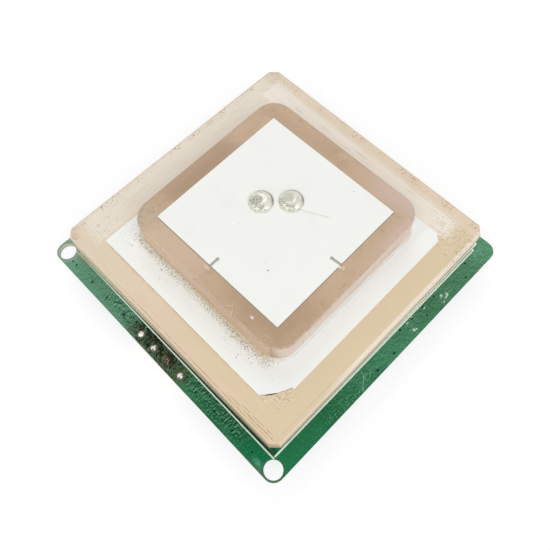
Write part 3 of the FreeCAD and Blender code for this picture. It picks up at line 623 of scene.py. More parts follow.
@dataclass(frozen=True)
class LowerCeramic:
    """Cream ceramic with a whitish film on two bands, edge lines, scratches and dirt."""

    left: Levels = (224, 209, 186)
    right: Levels = (219, 200, 167)
    # Both films are whitish and also painted lighter to lift the upper tile's shade, the back one most.
    film: Levels = (234, 225, 210)
    back_film: Levels = (242, 234, 223)
    top: float = 8.35
    base: float = 4.35
    middle: Point = LOWER_MIDDLE
    turn: float = LOWER_TURN
    patch_middle: Point = (0.20, -0.25)
    patch_turn: float = 0.45
    trim: GroundCorner = GroundCorner()

    def paint(self) -> bpy.types.Material:
        """The finished ceramic."""
        b = Brush("cream_ceramic")
        x, y = b.local(self.middle, self.turn)
        flat = b.rise(b.z, self.top - 0.06, self.top - 0.01)
        cloud = b.noise(5.0, 3.0)
        across = b.rise(b.plus(b.x, b.times(b.minus(cloud, 0.5), 14.0)), -16.0, 14.0)
        b.colour = b.mix(self.left, self.right, across)
        mottle = b.noise(0.7, 5.0, 0.6)
        b.lay((212, 190, 160), b.rise(mottle, 0.54, 0.8, 0.35))
        rosy = b.times(b.rise(y, -17.2, -18.2), b.rise(b.noise((3.0, 0.6, 1.0), 3.0), 0.44, 0.6))
        b.lay((226, 200, 176), rosy, 0.6)
        self.whitened(b, x, y, flat)
        self.edge_lines(b, x, y, flat)
        self.scraped_corner(b, flat)
        self.walls(b, x, y)
        dust = b.rise(b.noise(0.08, 2.0), 0.76, 0.80)
        rare = b.rise(b.noise(3.0, 2.0), 0.5, 0.65)
        b.lay((112, 90, 64), dust, b.plus(0.25, rare), 0.55)
        b.bump(b.noise(0.25, 5.0, 0.6), 0.008)
        return b.done(b.plus(0.46, b.times(mottle, 0.2)), Specular_IOR_Level=0.35)

    def whitened(self, b: Brush, x: Socket, y: Socket, flat: Socket) -> None:
        """The whitish film on the left and back bands, in streaks along them, painted lighter to lift the upper tile's
        shade.

        Args:
            b: the brush.
            x: place across the tile.
            y: place along the tile.
            flat: one on the upper face.
        """
        ragged = b.sway(b.noise(0.5, 5.0, 0.7), 1.1)
        left_streaks = b.noise((0.22, 4.5, 1.0), 5.0, 0.65, 0.4, 0.3)
        back_streaks = b.noise((4.5, 0.22, 1.0), 5.0, 0.65, 0.4, 0.3)
        left = b.times(
            b.rise(b.plus(x, ragged), -14.2, -14.9), b.rise(b.plus(y, b.times(ragged, 2.0)), -17.4, -16.0),
            b.rise(b.plus(x, ragged), -18.9, -18.3), b.rise(b.plus(y, b.times(ragged, 2.0)), 16.9, 15.9),
            b.rise(left_streaks, 0.28, 0.48))
        back = b.times(
            b.rise(b.plus(y, ragged), 13.9, 14.4), b.rise(b.plus(y, ragged), 18.0, 17.0),
            b.rise(b.plus(x, b.times(ragged, 3.0)), 17.0, 15.2), b.rise(b.plus(x, b.times(ragged, 2.0)), -17.2, -16.2),
            b.rise(back_streaks, 0.28, 0.48))
        b.lay(self.film, left, flat, 0.9)
        b.lay(self.back_film, back, flat, 0.9)
        far = b.times(b.rise(y, 16.6, 17.6), b.rise(x, -17.0, -12.0), flat)
        b.lay((229, 212, 190), far, 0.7)
        rub_left = b.times(
            b.rise(left_streaks, 0.60, 0.70), b.rise(x, -14.0, -15.0), b.within(y, -16.6, 18.0, 0.6))
        rub_back = b.times(
            b.rise(back_streaks, 0.60, 0.70), b.rise(y, 13.6, 14.4), b.within(x, -18.0, 17.0, 0.6))
        b.lay((206, 186, 160), b.most(rub_left, rub_back), flat, 0.6)
        fine_left = b.rise(b.noise((0.06, 1.2, 0.5), 3.0, 0.7, 0.5, 4.0), 0.68, 0.74)
        fine_back = b.rise(b.noise((1.2, 0.06, 0.5), 3.0, 0.7, 0.5, -3.0), 0.68, 0.74)
        lines = b.most(b.times(fine_left, b.rise(x, -14.8, -15.4)), b.times(fine_back, b.rise(y, 14.4, 15.0)))
        b.lay((144, 116, 88), lines, flat, 0.6)
        b.bump(b.times(b.most(left, back), flat), 0.012)

    def edge_lines(self, b: Brush, x: Socket, y: Socket, flat: Socket) -> None:
        """Thin lines along the front and right edges, a painted highlight on their rounded rims, and scratches near the
        corners.

        Args:
            b: the brush.
            x: place across the tile.
            y: place along the tile.
            flat: one on the upper face.
        """
        sway = b.sway(b.noise((3.5, 0.5, 0.5), 3.0), 0.35)
        line_y = b.plus(y, sway)
        first = b.times(b.within(line_y, -18.42, -18.34, 0.03), b.rise(x, 10.5, 12.5), b.rise(x, 18.3, 17.8))
        second = b.times(b.within(line_y, -18.12, -18.06, 0.03), b.rise(x, 12.0, 13.5), b.rise(x, 18.2, 17.6))
        third = b.times(b.within(line_y, -18.72, -18.64, 0.025), b.rise(x, -12.0, -4.0), b.rise(x, 18.0, 17.0))
        broken = b.rise(b.noise((0.9, 0.2, 0.3), 3.0, 0.7), 0.38, 0.5)
        b.lay((150, 112, 80), b.most(first, second), broken, flat, 0.75)
        b.lay((176, 144, 112), third, broken, flat, 0.8)
        side = b.times(b.within(x, 18.30, 18.37, 0.03), b.within(y, -18.0, -9.0, 1.2), broken)
        b.lay((196, 166, 134), side, flat, 0.6)
        # Painted highlight along the rounded front and right edges.
        worn = b.most(b.within(y, -19.1, -18.88, 0.03), b.within(x, 18.82, 19.1, 0.03))
        b.lay((238, 222, 196), worn, b.rise(b.z, self.top - 0.26, self.top - 0.18), 0.7)
        band = b.times(b.within(x, 18.56, 19.1, 0.10), b.rise(y, -12.0, -5.0))
        b.lay((243, 232, 213), band, b.rise(b.z, self.top - 0.5, self.top - 0.4), 0.8)
        patch_x, patch_y = b.local(self.patch_middle, self.patch_turn)
        shade = b.times(b.within(patch_y, -15.28, -15.06, 0.06), b.within(patch_x, -14.2, 13.4, 0.4), broken)
        b.lay((192, 170, 140), shade, flat, 0.6)
        scratch = b.rise(b.noise((1.0, 0.06, 0.5), 3.0, 0.65, 0.5, 38.0), 0.60, 0.66)
        marked = b.most(
            b.spot((14.8, 16.2), (2.6, 2.0)), b.spot((-16.4, -14.2), (1.2, 1.9)),
            b.spot((16.6, 15.6), (1.8, 2.6)), b.spot((-17.6, 18.0), (1.8, 1.4)))
        b.lay((246, 240, 232), scratch, marked, flat, 0.85)
        dashes = b.rise(b.noise((0.4, 0.07, 0.3), 2.0, 0.6, 0.4, 62.0), 0.62, 0.67)
        b.lay((120, 92, 64), dashes, marked, flat, 0.85)
        rare = b.rise(b.noise(2.0, 2.0), 0.46, 0.54)
        near_edge = b.most(
            b.rise(x, -17.6, -18.4), b.rise(y, 17.4, 18.2), b.times(b.rise(x, 18.1, 18.5), b.rise(y, 10.0, 13.0)))
        nicks = b.rise(b.noise((0.20, 0.26, 0.3), 4.0, 0.7, 0.8), 0.55, 0.60)
        b.lay((160, 122, 92), nicks, rare, near_edge, 0.85)

    def scraped_corner(self, b: Brush, flat: Socket) -> None:
        """The line along the ground-off corner of the patch, and the scraped tile beside it, its scrape marks laid as
        painted shade and painted highlights on their flanks.

        Args:
            b: the brush.
            flat: one on the upper face.
        """
        out, along = self.trim.frame(b)
        length = self.trim.length
        line = b.within(b.plus(out, b.sway(b.noise(0.3, 3.0), 0.3)), -0.05, 0.03, 0.03)
        b.lay((132, 118, 94), line, b.within(along, 0.0, length + 0.2, 0.06), flat, 0.7)
        below = b.times(b.rise(out, 2.3, 0.5), b.rise(out, 0.0, 0.1), b.within(along, -0.3, length + 0.3, 0.5))
        relief = b.fold_light_and_shade((0.13, 0.34, 0.3), 60.0, (0.06, -0.06, 0.0), 3.0)
        thin = b.times(b.rise(b.noise((0.5, 0.35, 0.3), 3.0), 0.45, 0.60), b.rise(along, -0.4, 1.6))
        # Scrape marks: painted shade on one flank and painted highlights on the other.
        b.lay((110, 84, 54), b.rise(relief, -0.03, -0.10), below, thin, flat, 0.9)
        b.lay((240, 228, 204), b.rise(relief, 0.03, 0.10), below, flat, 0.7)

    def walls(self, b: Brush, x: Socket, y: Socket) -> None:
        """The four walls: cream above and tan below at the right, with a painted shade line low down, tan at the front,
        greyish at the foot.

        Args:
            b: the brush.
            x: place across the tile.
            y: place along the tile.
        """
        wall = b.rise(b.z, self.top - 0.16, self.top - 0.34)
        grain = b.noise((3.0, 3.0, 0.16), 4.0, 0.6)
        b.lay(b.mix((212, 192, 162), (192, 166, 134), grain), wall, 0.85)
        front = b.times(b.rise(y, -18.6, -18.85), wall)
        fading = b.mix((236, 220, 196), (204, 180, 148), b.rise(x, -8.0, 12.0))
        b.lay(b.mix(fading, (196, 172, 140), b.times(grain, 0.6)), front, 0.85)
        right = b.times(b.rise(x, 18.7, 18.9), wall)
        high = b.rise(b.plus(b.z, b.times(grain, 0.5)), self.base + 1.6, self.base + 2.8)
        b.lay((238, 226, 206), right, high, 0.85)
        smear = b.rise(b.noise((2.0, 7.0, 0.5), 4.0, 0.6, 0.5), 0.42, 0.60)
        reach = b.times(right, b.within(y, -9.0, 17.0, 4.0))
        b.lay((244, 240, 230), reach, smear, 0.7)
        # Painted shade: a thin dark line low on the right wall.
        shade_line = b.within(b.plus(b.z, b.times(grain, 0.12)), self.base + 0.62, self.base + 0.86, 0.08)
        b.lay((142, 134, 112), reach, shade_line, 0.7)
        foot = b.rise(b.z, self.base + 0.7, self.base + 0.1)
        low = b.mix((208, 198, 174), (142, 134, 102), b.rise(b.minus(x, b.times(y, 0.8)), 13.0, 24.0))
        b.lay(low, foot, 0.6)


@dataclass(frozen=True)
class UpperCeramic:
    """Tan ceramic, streaked along its edges, pinkish at the right, with small pale chips."""

    tan: Levels = (197, 170, 142)
    brown: Levels = (174, 146, 118)
    pink: Levels = (208, 184, 172)
    top: float = 12.55
    base: float = 8.55
    middle: Point = UPPER_MIDDLE
    turn: float = UPPER_TURN
    patch_half: float = 10.07
    patch_shift: Point = (0.04, -0.10)

    def paint(self) -> bpy.types.Material:
        """The finished ceramic."""
        b = Brush("tan_ceramic")
        x, y = b.local(self.middle, self.turn)
        flat = b.rise(b.z, self.top - 0.10, self.top - 0.02)
        clouds = b.noise(1.7, 5.0, 0.62)
        b.colour = b.mix(self.tan, self.brown, b.rise(clouds, 0.46, 0.74, 0.5))
        b.lay((210, 184, 158), b.rise(b.noise(0.9, 4.0, 0.6), 0.56, 0.72, 0.3))
        self.bands(b, x, y)
        self.slots(b, x, y, flat)
        self.walls(b, x, y)
        fine = b.noise(0.12, 3.0, 0.6)
        b.lay((160, 130, 102), b.rise(fine, 0.60, 0.76, 0.45))
        pale = b.rise(b.noise(0.13, 2.0, 0.5, 0.4), 0.63, 0.68)
        where = b.most(b.rise(y, -11.2, -12.0), b.rise(x, 11.2, 12.2), 0.25)
        b.lay((238, 224, 210), pale, b.rise(b.noise(2.4, 2.0), 0.44, 0.58), where, 0.85)
        chip = b.times(b.most(b.spot((9.75, 1.15), (0.2, 0.16), 0.5), b.spot((6.95, -10.25), (0.22, 0.17), 0.4)), flat)
        b.lay((240, 232, 222), chip, b.rise(b.noise(0.16, 3.0, 0.6, 0.6), 0.40, 0.48), 0.95)
        b.bump(b.noise(0.2, 5.0, 0.6), 0.010)
        b.bump(clouds, 0.02)
        return b.done(b.plus(0.48, b.times(fine, 0.2)), Specular_IOR_Level=0.35)

    def bands(self, b: Brush, x: Socket, y: Socket) -> None:
        """The four bands round the patch, each streaked along its length.

        Args:
            b: the brush.
            x: place across the tile.
            y: place along the tile.
        """
        far_x, far_y = b.absolute(x), b.absolute(y)
        out = b.minus(b.most(far_x, far_y), self.patch_half)
        upright = b.noise((0.35, 4.0, 1.0), 4.0, 0.6, 0.4, self.turn)
        level = b.noise((4.0, 0.35, 1.0), 4.0, 0.6, 0.4, self.turn)
        at_sides = b.times(upright, b.rise(b.minus(far_x, far_y), -0.5, 0.5))
        at_ends = b.times(level, b.rise(b.minus(far_y, far_x), -0.5, 0.5))
        lengthwise = b.plus(at_sides, at_ends)
        b.lay((214, 190, 168), b.rise(lengthwise, 0.54, 0.74, 0.22))
        b.lay((172, 144, 116), b.rise(lengthwise, 0.46, 0.30, 0.25))
        sway = b.sway(b.noise(1.6, 3.0), 2.4)
        u, v = b.plus(x, sway), b.plus(y, sway)
        near = b.rise(out, 2.2, 0.6)
        dark = b.times(b.rise(u, -2.0, 7.0), b.rise(v, -1.0, -9.0))
        b.lay((174, 146, 117), dark, b.plus(0.55, b.times(near, 0.35)))
        left = b.times(b.rise(x, -9.2, -10.4), b.within(v, -8.0, 3.5, 2.2))
        b.lay((170, 143, 118), left, b.plus(0.6, b.times(near, 0.3)))
        back = b.times(b.rise(y, 9.4, 10.4), b.rise(x, 5.0, -3.0))
        b.lay((184, 156, 129), back, near, 0.6)
        front = b.times(b.within(u, -10.0, -1.5, 2.6), b.rise(y, -9.2, -10.4))
        b.lay((207, 181, 157), front, 0.75)
        corner = b.spot((-11.9, -10.4), (2.4, 1.9), 0.5)
        olive = b.mix((190, 174, 150), (160, 144, 116), b.rise(b.noise(0.5, 4.0, 0.65), 0.48, 0.62))
        b.lay(olive, corner, 0.5)
        pale = b.most(b.spot((8.6, 13.1), (4.2, 1.6), 0.7), b.times(b.spot((12.0, 10.0), (1.2, 4.6), 0.7), 0.7))
        b.lay(self.pink, pale, 0.8)

    def slots(self, b: Brush, x: Socket, y: Socket, flat: Socket) -> None:
        """The grey floor of the two tuning slots, pale smears at their mouths, and a painted shadow line along the
        patch's front and right edges.

        Args:
            b: the brush.
            x: place across the tile.
            y: place along the tile.
            flat: one on the upper face.
        """
        u = b.minus(x, self.patch_shift[0])
        v = b.minus(y, self.patch_shift[1])
        inside = b.times(b.rise(b.absolute(u), 10.12, 10.04), b.rise(b.absolute(v), 10.12, 10.04))
        b.lay((172, 171, 162), inside, flat, 0.95)
        # Painted shadow line along the patch's front and right edges.
        front = b.times(b.within(v, -10.22, -10.05, 0.03), b.within(u, -10.1, 10.15, 0.05))
        right = b.times(b.within(u, 10.05, 10.20, 0.03), b.within(v, -10.15, 10.1, 0.05))
        b.lay((148, 140, 124), b.most(front, right), flat, 0.75)
        mouth = b.most(b.spot((-1.15, -9.72), (0.42, 0.16), 0.6), b.spot((10.1, 1.32), (0.22, 0.26), 0.6))
        b.lay((226, 214, 194), mouth, flat, 0.6)

    def walls(self, b: Brush, x: Socket, y: Socket) -> None:
        """The walls: painted pinkish white at the right as the lit side, warm tan at the front, and a lighter ragged
        upper rim painted as its highlight.

        Args:
            b: the brush.
            x: place across the tile.
            y: place along the tile.
        """
        wall = b.rise(b.z, self.top - 0.16, self.top - 0.5)
        streaks = b.noise((7.0, 7.0, 1.6), 3.0)
        facing = b.rise(y, -12.3, -12.6)
        b.lay(b.mix((226, 197, 171), (212, 183, 156), b.rise(streaks, 0.35, 0.65)), facing, wall, 0.85)
        # Painted light: the right wall pinkish white, as the lit side.
        side = b.rise(b.plus(x, b.times(b.z, 0.12)), 12.4, 13.6)
        lit_side_colour = b.mix((230, 210, 198), (240, 228, 220), b.rise(b.noise((6.0, 6.0, 2.2), 3.0), 0.35, 0.70))
        b.lay(lit_side_colour, side, wall, 0.85)
        # Painted highlight: a lighter ragged band along the upper rim.
        rim = b.within(b.z, self.top - 0.30, self.top - 0.06, 0.05)
        ragged = b.rise(b.noise((0.5, 0.5, 0.2), 4.0, 0.65), 0.40, 0.56)
        b.lay((222, 202, 184), rim, ragged, 0.5)
        foot = b.rise(b.z, self.base + 0.7, self.base + 0.05)
        b.lay((190, 172, 140), foot, facing, 0.5)


@dataclass(frozen=True)
class FiredSilver:
    """Thick silver paste, fired white, matt and faintly dusty."""

    white: Levels = (243, 244, 239)
    shade: Levels = (233, 234, 229)
    trim: GroundCorner = GroundCorner()

    def paint(self) -> bpy.types.Material:
        """The finished coat."""
        b = Brush("fired_silver")
        b.colour = b.mix(self.white, self.shade, b.rise(b.noise(4.0), 0.5, 0.8, 0.35))
        low = b.rise(b.z, 10.0, 9.0)
        grain = b.noise((0.16, 0.13, 0.2), 4.0, 0.65)
        b.lay((243, 245, 242), low, 0.9)
        near = b.times(low, b.within(b.y, -14.2, -11.9, 0.9), b.rise(b.x, 13.0, 6.0))
        b.lay((206, 202, 188), near, b.rise(grain, 0.52, 0.66), 0.3)
        hem = b.times(low, b.within(b.y, -12.75, -11.6, 0.25), b.rise(b.x, 12.2, 10.8), b.rise(b.x, -13.4, -12.0))
        b.lay((158, 142, 108), hem, b.rise(grain, 0.50, 0.60), 0.75)
        right = b.times(low, b.within(b.x, 12.3, 12.9, 0.7), b.rise(b.y, -11.5, -9.0))
        b.lay((216, 214, 214), right, 0.45)
        out, along = self.trim.frame(b)
        cut = b.times(low, b.rise(out, -0.10, 0.0), b.within(along, -0.05, self.trim.length + 0.3, 0.08))
        b.lay((170, 162, 142), cut, 0.6)
        # The upper coat's thin side painted grey: its own edge and painted shade beside it.
        b.lay((150, 146, 134), b.within(b.z, 12.50, 12.595, 0.004), 0.8)
        speck = b.rise(b.noise(0.1, 2.0), 0.775, 0.80)
        b.lay((120, 116, 104), speck, 0.7)
        b.bump(b.noise(0.2, 4.0, 0.6), 0.004)
        b.bump(b.noise(2.5, 2.0), 0.012)
        return b.done(0.6, Specular_IOR_Level=0.25)


@dataclass(frozen=True)
class Glue:
    """Adhesive, squeezed out and yellowish at the front, clear and pale at the right."""

    cream: Levels = (235, 228, 212)
    straw: Levels = (222, 206, 172)
    clear: Levels = (240, 240, 236)
    dirt: Levels = (172, 146, 108)

    def paint(self) -> bpy.types.Material:
        """The finished adhesive."""
        b = Brush("adhesive")
        right = b.rise(b.x, 12.0, 12.8)
        ochre = b.times(b.rise(b.x, -3.0, 1.0), b.rise(b.x, 11.4, 9.8), b.rise(b.y, -11.0, -11.6))
        b.colour = b.mix(b.mix(self.cream, self.straw, b.times(ochre, 0.9)), self.clear, right)
        grime = b.rise(b.noise((0.13, 0.10, 0.10), 4.0, 0.65), 0.50, 0.62)
        front = b.times(b.rise(b.y, -11.0, -11.6), b.less(right))
        b.lay(self.dirt, grime, front, b.plus(0.7, b.rise(b.x, 0.0, -3.0, 0.25)))
        b.bump(b.noise(0.3, 3.0), 0.02)
        return b.done(0.6, Subsurface_Weight=0.1, Specular_IOR_Level=0.25)


@dataclass(frozen=True)
class Solder:
    """Bright solder, dulled where it is dirty, burnt at its foot and in spots, with painted shade on the right flanks
    of two joints.
    """

    name: str = "bright_solder"
    bright: Levels = (248, 248, 240)
    dull: Levels = (160, 156, 138)
    dulled: float = 0.12
    rough: float = 0.22
    metal: float = 0.25
    burnt: Levels = (40, 50, 30)
    # The spots at (-0.70, -19.72) and (4.22, -19.64) are painted shade on the right flanks of joints two and four.
    scorch_and_shade_spots: Sequence[tuple[Point, Point]] = (
        ((-3.95, -20.15), (0.20, 0.22)), ((-1.42, -19.80), (0.26, 0.24)), ((-0.95, -20.30), (0.12, 0.20)),
        ((4.02, -20.30), (0.12, 0.20)), ((-0.70, -19.72), (0.28, 0.28)), ((4.22, -19.64), (0.24, 0.24)))

    def paint(self) -> bpy.types.Material:
        """The finished solder."""
        b = Brush(self.name)
        cloud = b.noise(0.35, 4.0, 0.65, 0.4)
        grey = b.rise(cloud, 0.62 - self.dulled * 0.4, 0.78 - self.dulled * 0.4)
        b.colour = b.mix(self.bright, self.dull, grey)
        upright = b.rise(b.z, 4.1, 4.2)
        foot = b.times(b.rise(b.z, 4.46, 4.37), upright, b.rise(b.noise(0.25, 3.0), 0.26, 0.38))
        for middle, radii in self.scorch_and_shade_spots:
            foot = b.most(foot, b.times(b.spot(middle, radii, 0.35), upright, b.rise(b.z, 12.0, 11.0)))
        # The burnt colour also lays the painted shade of those two spots.
        b.lay(self.burnt, foot, 0.88)
        b.bump(b.noise(0.35, 3.0), 0.02)
        rough = b.plus(self.rough, b.times(b.most(grey, foot), 0.3))
        return b.done(rough, b.times(b.less(foot), self.metal))


@dataclass(frozen=True)
class FeedSolder:
    """Glassy solder over the feed pins' heads, with a speckled crater, a dark far rim and outline that are painted
    reflections of dark surroundings, and painted highlights.
    """

    base: Levels = (233, 232, 219)
    speckle: Levels = (112, 114, 92)
    joints: Sequence[tuple[Point, Point, float]] = (
        (FEED_JOINTS["left"], (-3.2, 0.45), 0.85), (FEED_JOINTS["back"], (-0.7, 3.36), 0.5))
    radius: float = 1.58
    crater: float = 0.62
    painted_highlights: Sequence[Point] = ((0.08, -1.18), (1.16, -0.02))
    dark_reflection_turn: float = 95.0

    def paint(self) -> bpy.types.Material:
        """The finished solder."""
        b = Brush("feed_solder")
        fine = b.noise((0.13, 0.13, 0.3), 2.0, 0.6)
        cloud = b.noise((0.4, 0.4, 0.5), 4.0, 0.6)
        b.colour = b.mix(self.base, (212, 213, 198), b.rise(cloud, 0.46, 0.66))
        rough: Any = 0.16
        for middle, hollow, speckled in self.joints:
            pit = b.spot(hollow, (self.crater, self.crater), 0.25)
            b.lay((204, 205, 188), pit, 0.6)
            b.lay(self.speckle, pit, b.rise(fine, 0.47, 0.55), speckled)
            ring = b.times(b.spot(hollow, (self.crater + 0.1, self.crater + 0.1), 0.1), b.less(pit))
            b.lay((176, 177, 160), ring, 0.5)
            across, along = b.local(middle, self.dark_reflection_turn)
            far = b.length(across, along)
            dark_reflection = b.minus(far, b.times(across, 0.12))
            # Painted reflection: a dark crescent on the far rim.
            rim = b.times(b.within(dark_reflection, self.radius - 0.42, self.radius - 0.13, 0.07), b.rise(across, 0.2, 1.1))
            b.lay((128, 130, 116), rim, 0.9)
            # Painted reflection: a thin dark line along the far edge.
            outline = b.times(b.within(far, self.radius - 0.12, self.radius - 0.04, 0.03), b.rise(across, -0.6, 0.6))
            b.lay((120, 122, 106), outline, 0.55)
            lower = b.times(b.within(far, 0.75, 1.5, 0.15), b.rise(across, -0.2, -0.8), b.rise(fine, 0.50, 0.56))
            b.lay((122, 118, 94), lower, 0.85)
            # Painted highlights: white spots near the rim.
            for shift in self.painted_highlights:
                shine = b.spot((middle[0] + shift[0], middle[1] + shift[1]), (0.28, 0.28), 0.5)
                b.lay((254, 254, 248), shine, b.rise(fine, 0.56, 0.50))
            rough = b.plus(rough, b.times(pit, 0.3))
        b.bump(b.noise(0.25, 3.0), 0.03)
        return b.done(rough, 0.12, Specular_IOR_Level=0.7)


@dataclass(frozen=True)
class Metal:
    """Bare or plated metal with fine brushing or frost.

    Its brushing runs along y and may be turned.
    """

    name: str
    colour: Levels
    shade: Levels
    rough: float = 0.3
    brushed: Solid = (0.04, 3.0, 0.3)
    turn: float = 0.0
    relief: float = 0.004
    clouding: float = 0.7
    scratched: float = 0.0

    def paint(self) -> bpy.types.Material:
        """The finished metal."""
        b = Brush(self.name)
        lines = b.noise(self.brushed, 3.0, 0.6, 0.0, self.turn)
        cloud = b.noise(3.0)
        b.colour = b.mix(self.colour, self.shade, b.rise(cloud, 0.4, 0.75, self.clouding))
        prints = b.rise(b.noise(0.8, 5.0, 0.7, 0.8), 0.58, 0.72)
        b.lay(self.shade, prints, self.clouding * 0.4)
        b.lay(self.shade, b.rise(lines, 0.55, 0.75, 0.35))
        one_way = b.rise(b.noise((0.07, 4.5, 0.5), 3.0, 0.6, 0.5, self.turn + 38.0), 0.66, 0.70)
        other_way = b.rise(b.noise((3.5, 0.07, 0.5), 3.0, 0.6, 0.5, self.turn + 21.0), 0.67, 0.71)
        b.lay((236, 238, 238), b.most(one_way, other_way), self.scratched)
        b.bump(lines, self.relief)
        rough = b.plus(self.rough, b.plus(b.times(prints, 0.12), b.times(lines, 0.1)))
        return b.done(rough, 1.0)


@dataclass(frozen=True)
class Moulding:
    """Moulded plastic or resin with a fine grain."""

    name: str
    colour: Levels
    shade: Levels
    rough: float = 0.5
    grain: float = 0.08
    relief: float = 0.01
    shine: float = 0.5

    def paint(self) -> bpy.types.Material:
        """The finished moulding."""
        b = Brush(self.name)
        fine = b.noise(self.grain, 3.0, 0.6)
        cloud = b.noise(1.5)
        b.colour = b.mix(self.colour, self.shade, b.rise(cloud, 0.35, 0.75, 0.8))
        dust = b.rise(b.noise(0.1, 2.0), 0.70, 0.78)
        light = tuple(min(255, level + 60) for level in self.colour)
        b.lay(light, dust, 0.3)
        b.bump(fine, self.relief)
        return b.done(b.plus(self.rough, b.times(fine, 0.15)), Specular_IOR_Level=self.shine)


@dataclass(frozen=True)
class ChipCeramic:
    """Tan chip bodies with tinned ends.

    The ends of the two supply capacitors are known by their distance from the
    middle of the strip, and those of the small ones by their places in a row.
    """

    body: Levels = (168, 138, 104)
    end: Levels = (214, 214, 208)
    strip_middle: float = -16.75
    supply_end: float = 1.15
    row_first: float = -9.0
    row_pitch: float = 1.6
    small_end: float = 0.26

    def paint(self) -> bpy.types.Material:
        """The finished chips."""
        b = Brush("chip_ceramic")
        from_strip = b.absolute(b.minus(b.x, self.strip_middle))
        supply = b.times(
            b.rise(from_strip, self.supply_end - 0.03, self.supply_end + 0.03), b.rise(b.x, -14.0, -14.4))
        steps = b.calc("DIVIDE", b.minus(b.x, self.row_first), self.row_pitch)
        from_middle = b.times(b.absolute(b.minus(steps, b.calc("ROUND", steps))), self.row_pitch)
        small = b.times(b.rise(from_middle, self.small_end - 0.02, self.small_end + 0.02), b.rise(b.x, -14.4, -14.0))
        metal = b.most(supply, small)
        body = b.mix(self.body, (146, 114, 82), b.rise(b.noise(0.4), 0.4, 0.7))
        tin = b.mix(self.end, (182, 180, 170), b.rise(b.noise(0.25), 0.45, 0.7))
        b.bump(b.noise(0.1, 3.0), 0.008)
        b.colour = b.mix(body, tin, metal)
        return b.done(b.minus(0.45, b.times(metal, 0.12)), metal)


@dataclass(frozen=True)
class Grit:
    """Grains of ground ceramic and soot in several browns."""

    browns: Sequence[tuple[float, Levels]] = (
        (0.30, (62, 47, 32)), (0.43, (122, 97, 68)), (0.55, (190, 168, 134)), (0.68, (230, 220, 202)))

    def paint(self) -> bpy.types.Material:
        """The finished grit."""
        b = Brush("grit")
        b.colour = b.steps(b.noise(0.22, 1.0, 0.5), self.browns)
        b.bump(b.noise(0.05, 2.0), 0.01)
        return b.done(0.7)


@dataclass(frozen=True)
class FluxResin:
    """Burnt flux, near black and glassy with olive crumbs."""

    shades: Sequence[tuple[float, Levels]] = (
        (0.38, (10, 16, 6)), (0.50, (28, 38, 18)), (0.60, (58, 68, 40)), (0.72, (112, 114, 82)))

    def paint(self) -> bpy.types.Material:
        """The finished resin."""
        b = Brush("burnt_flux")
        cloud = b.noise(0.28, 4.0, 0.65, 0.6)
        b.colour = b.steps(cloud, self.shades)
        b.bump(b.noise(0.15, 4.0, 0.6), 0.04)
        return b.done(b.plus(0.32, b.times(cloud, 0.3)), Specular_IOR_Level=0.12)


class Pick(Enum):
    """What a selection is made of."""

    CORNERS = "VERT"
    EDGES = "EDGE"


MERGED_COPY = 0.0005
MERGED_RING = 0.0002
FLAT_ANGLE = 0.3


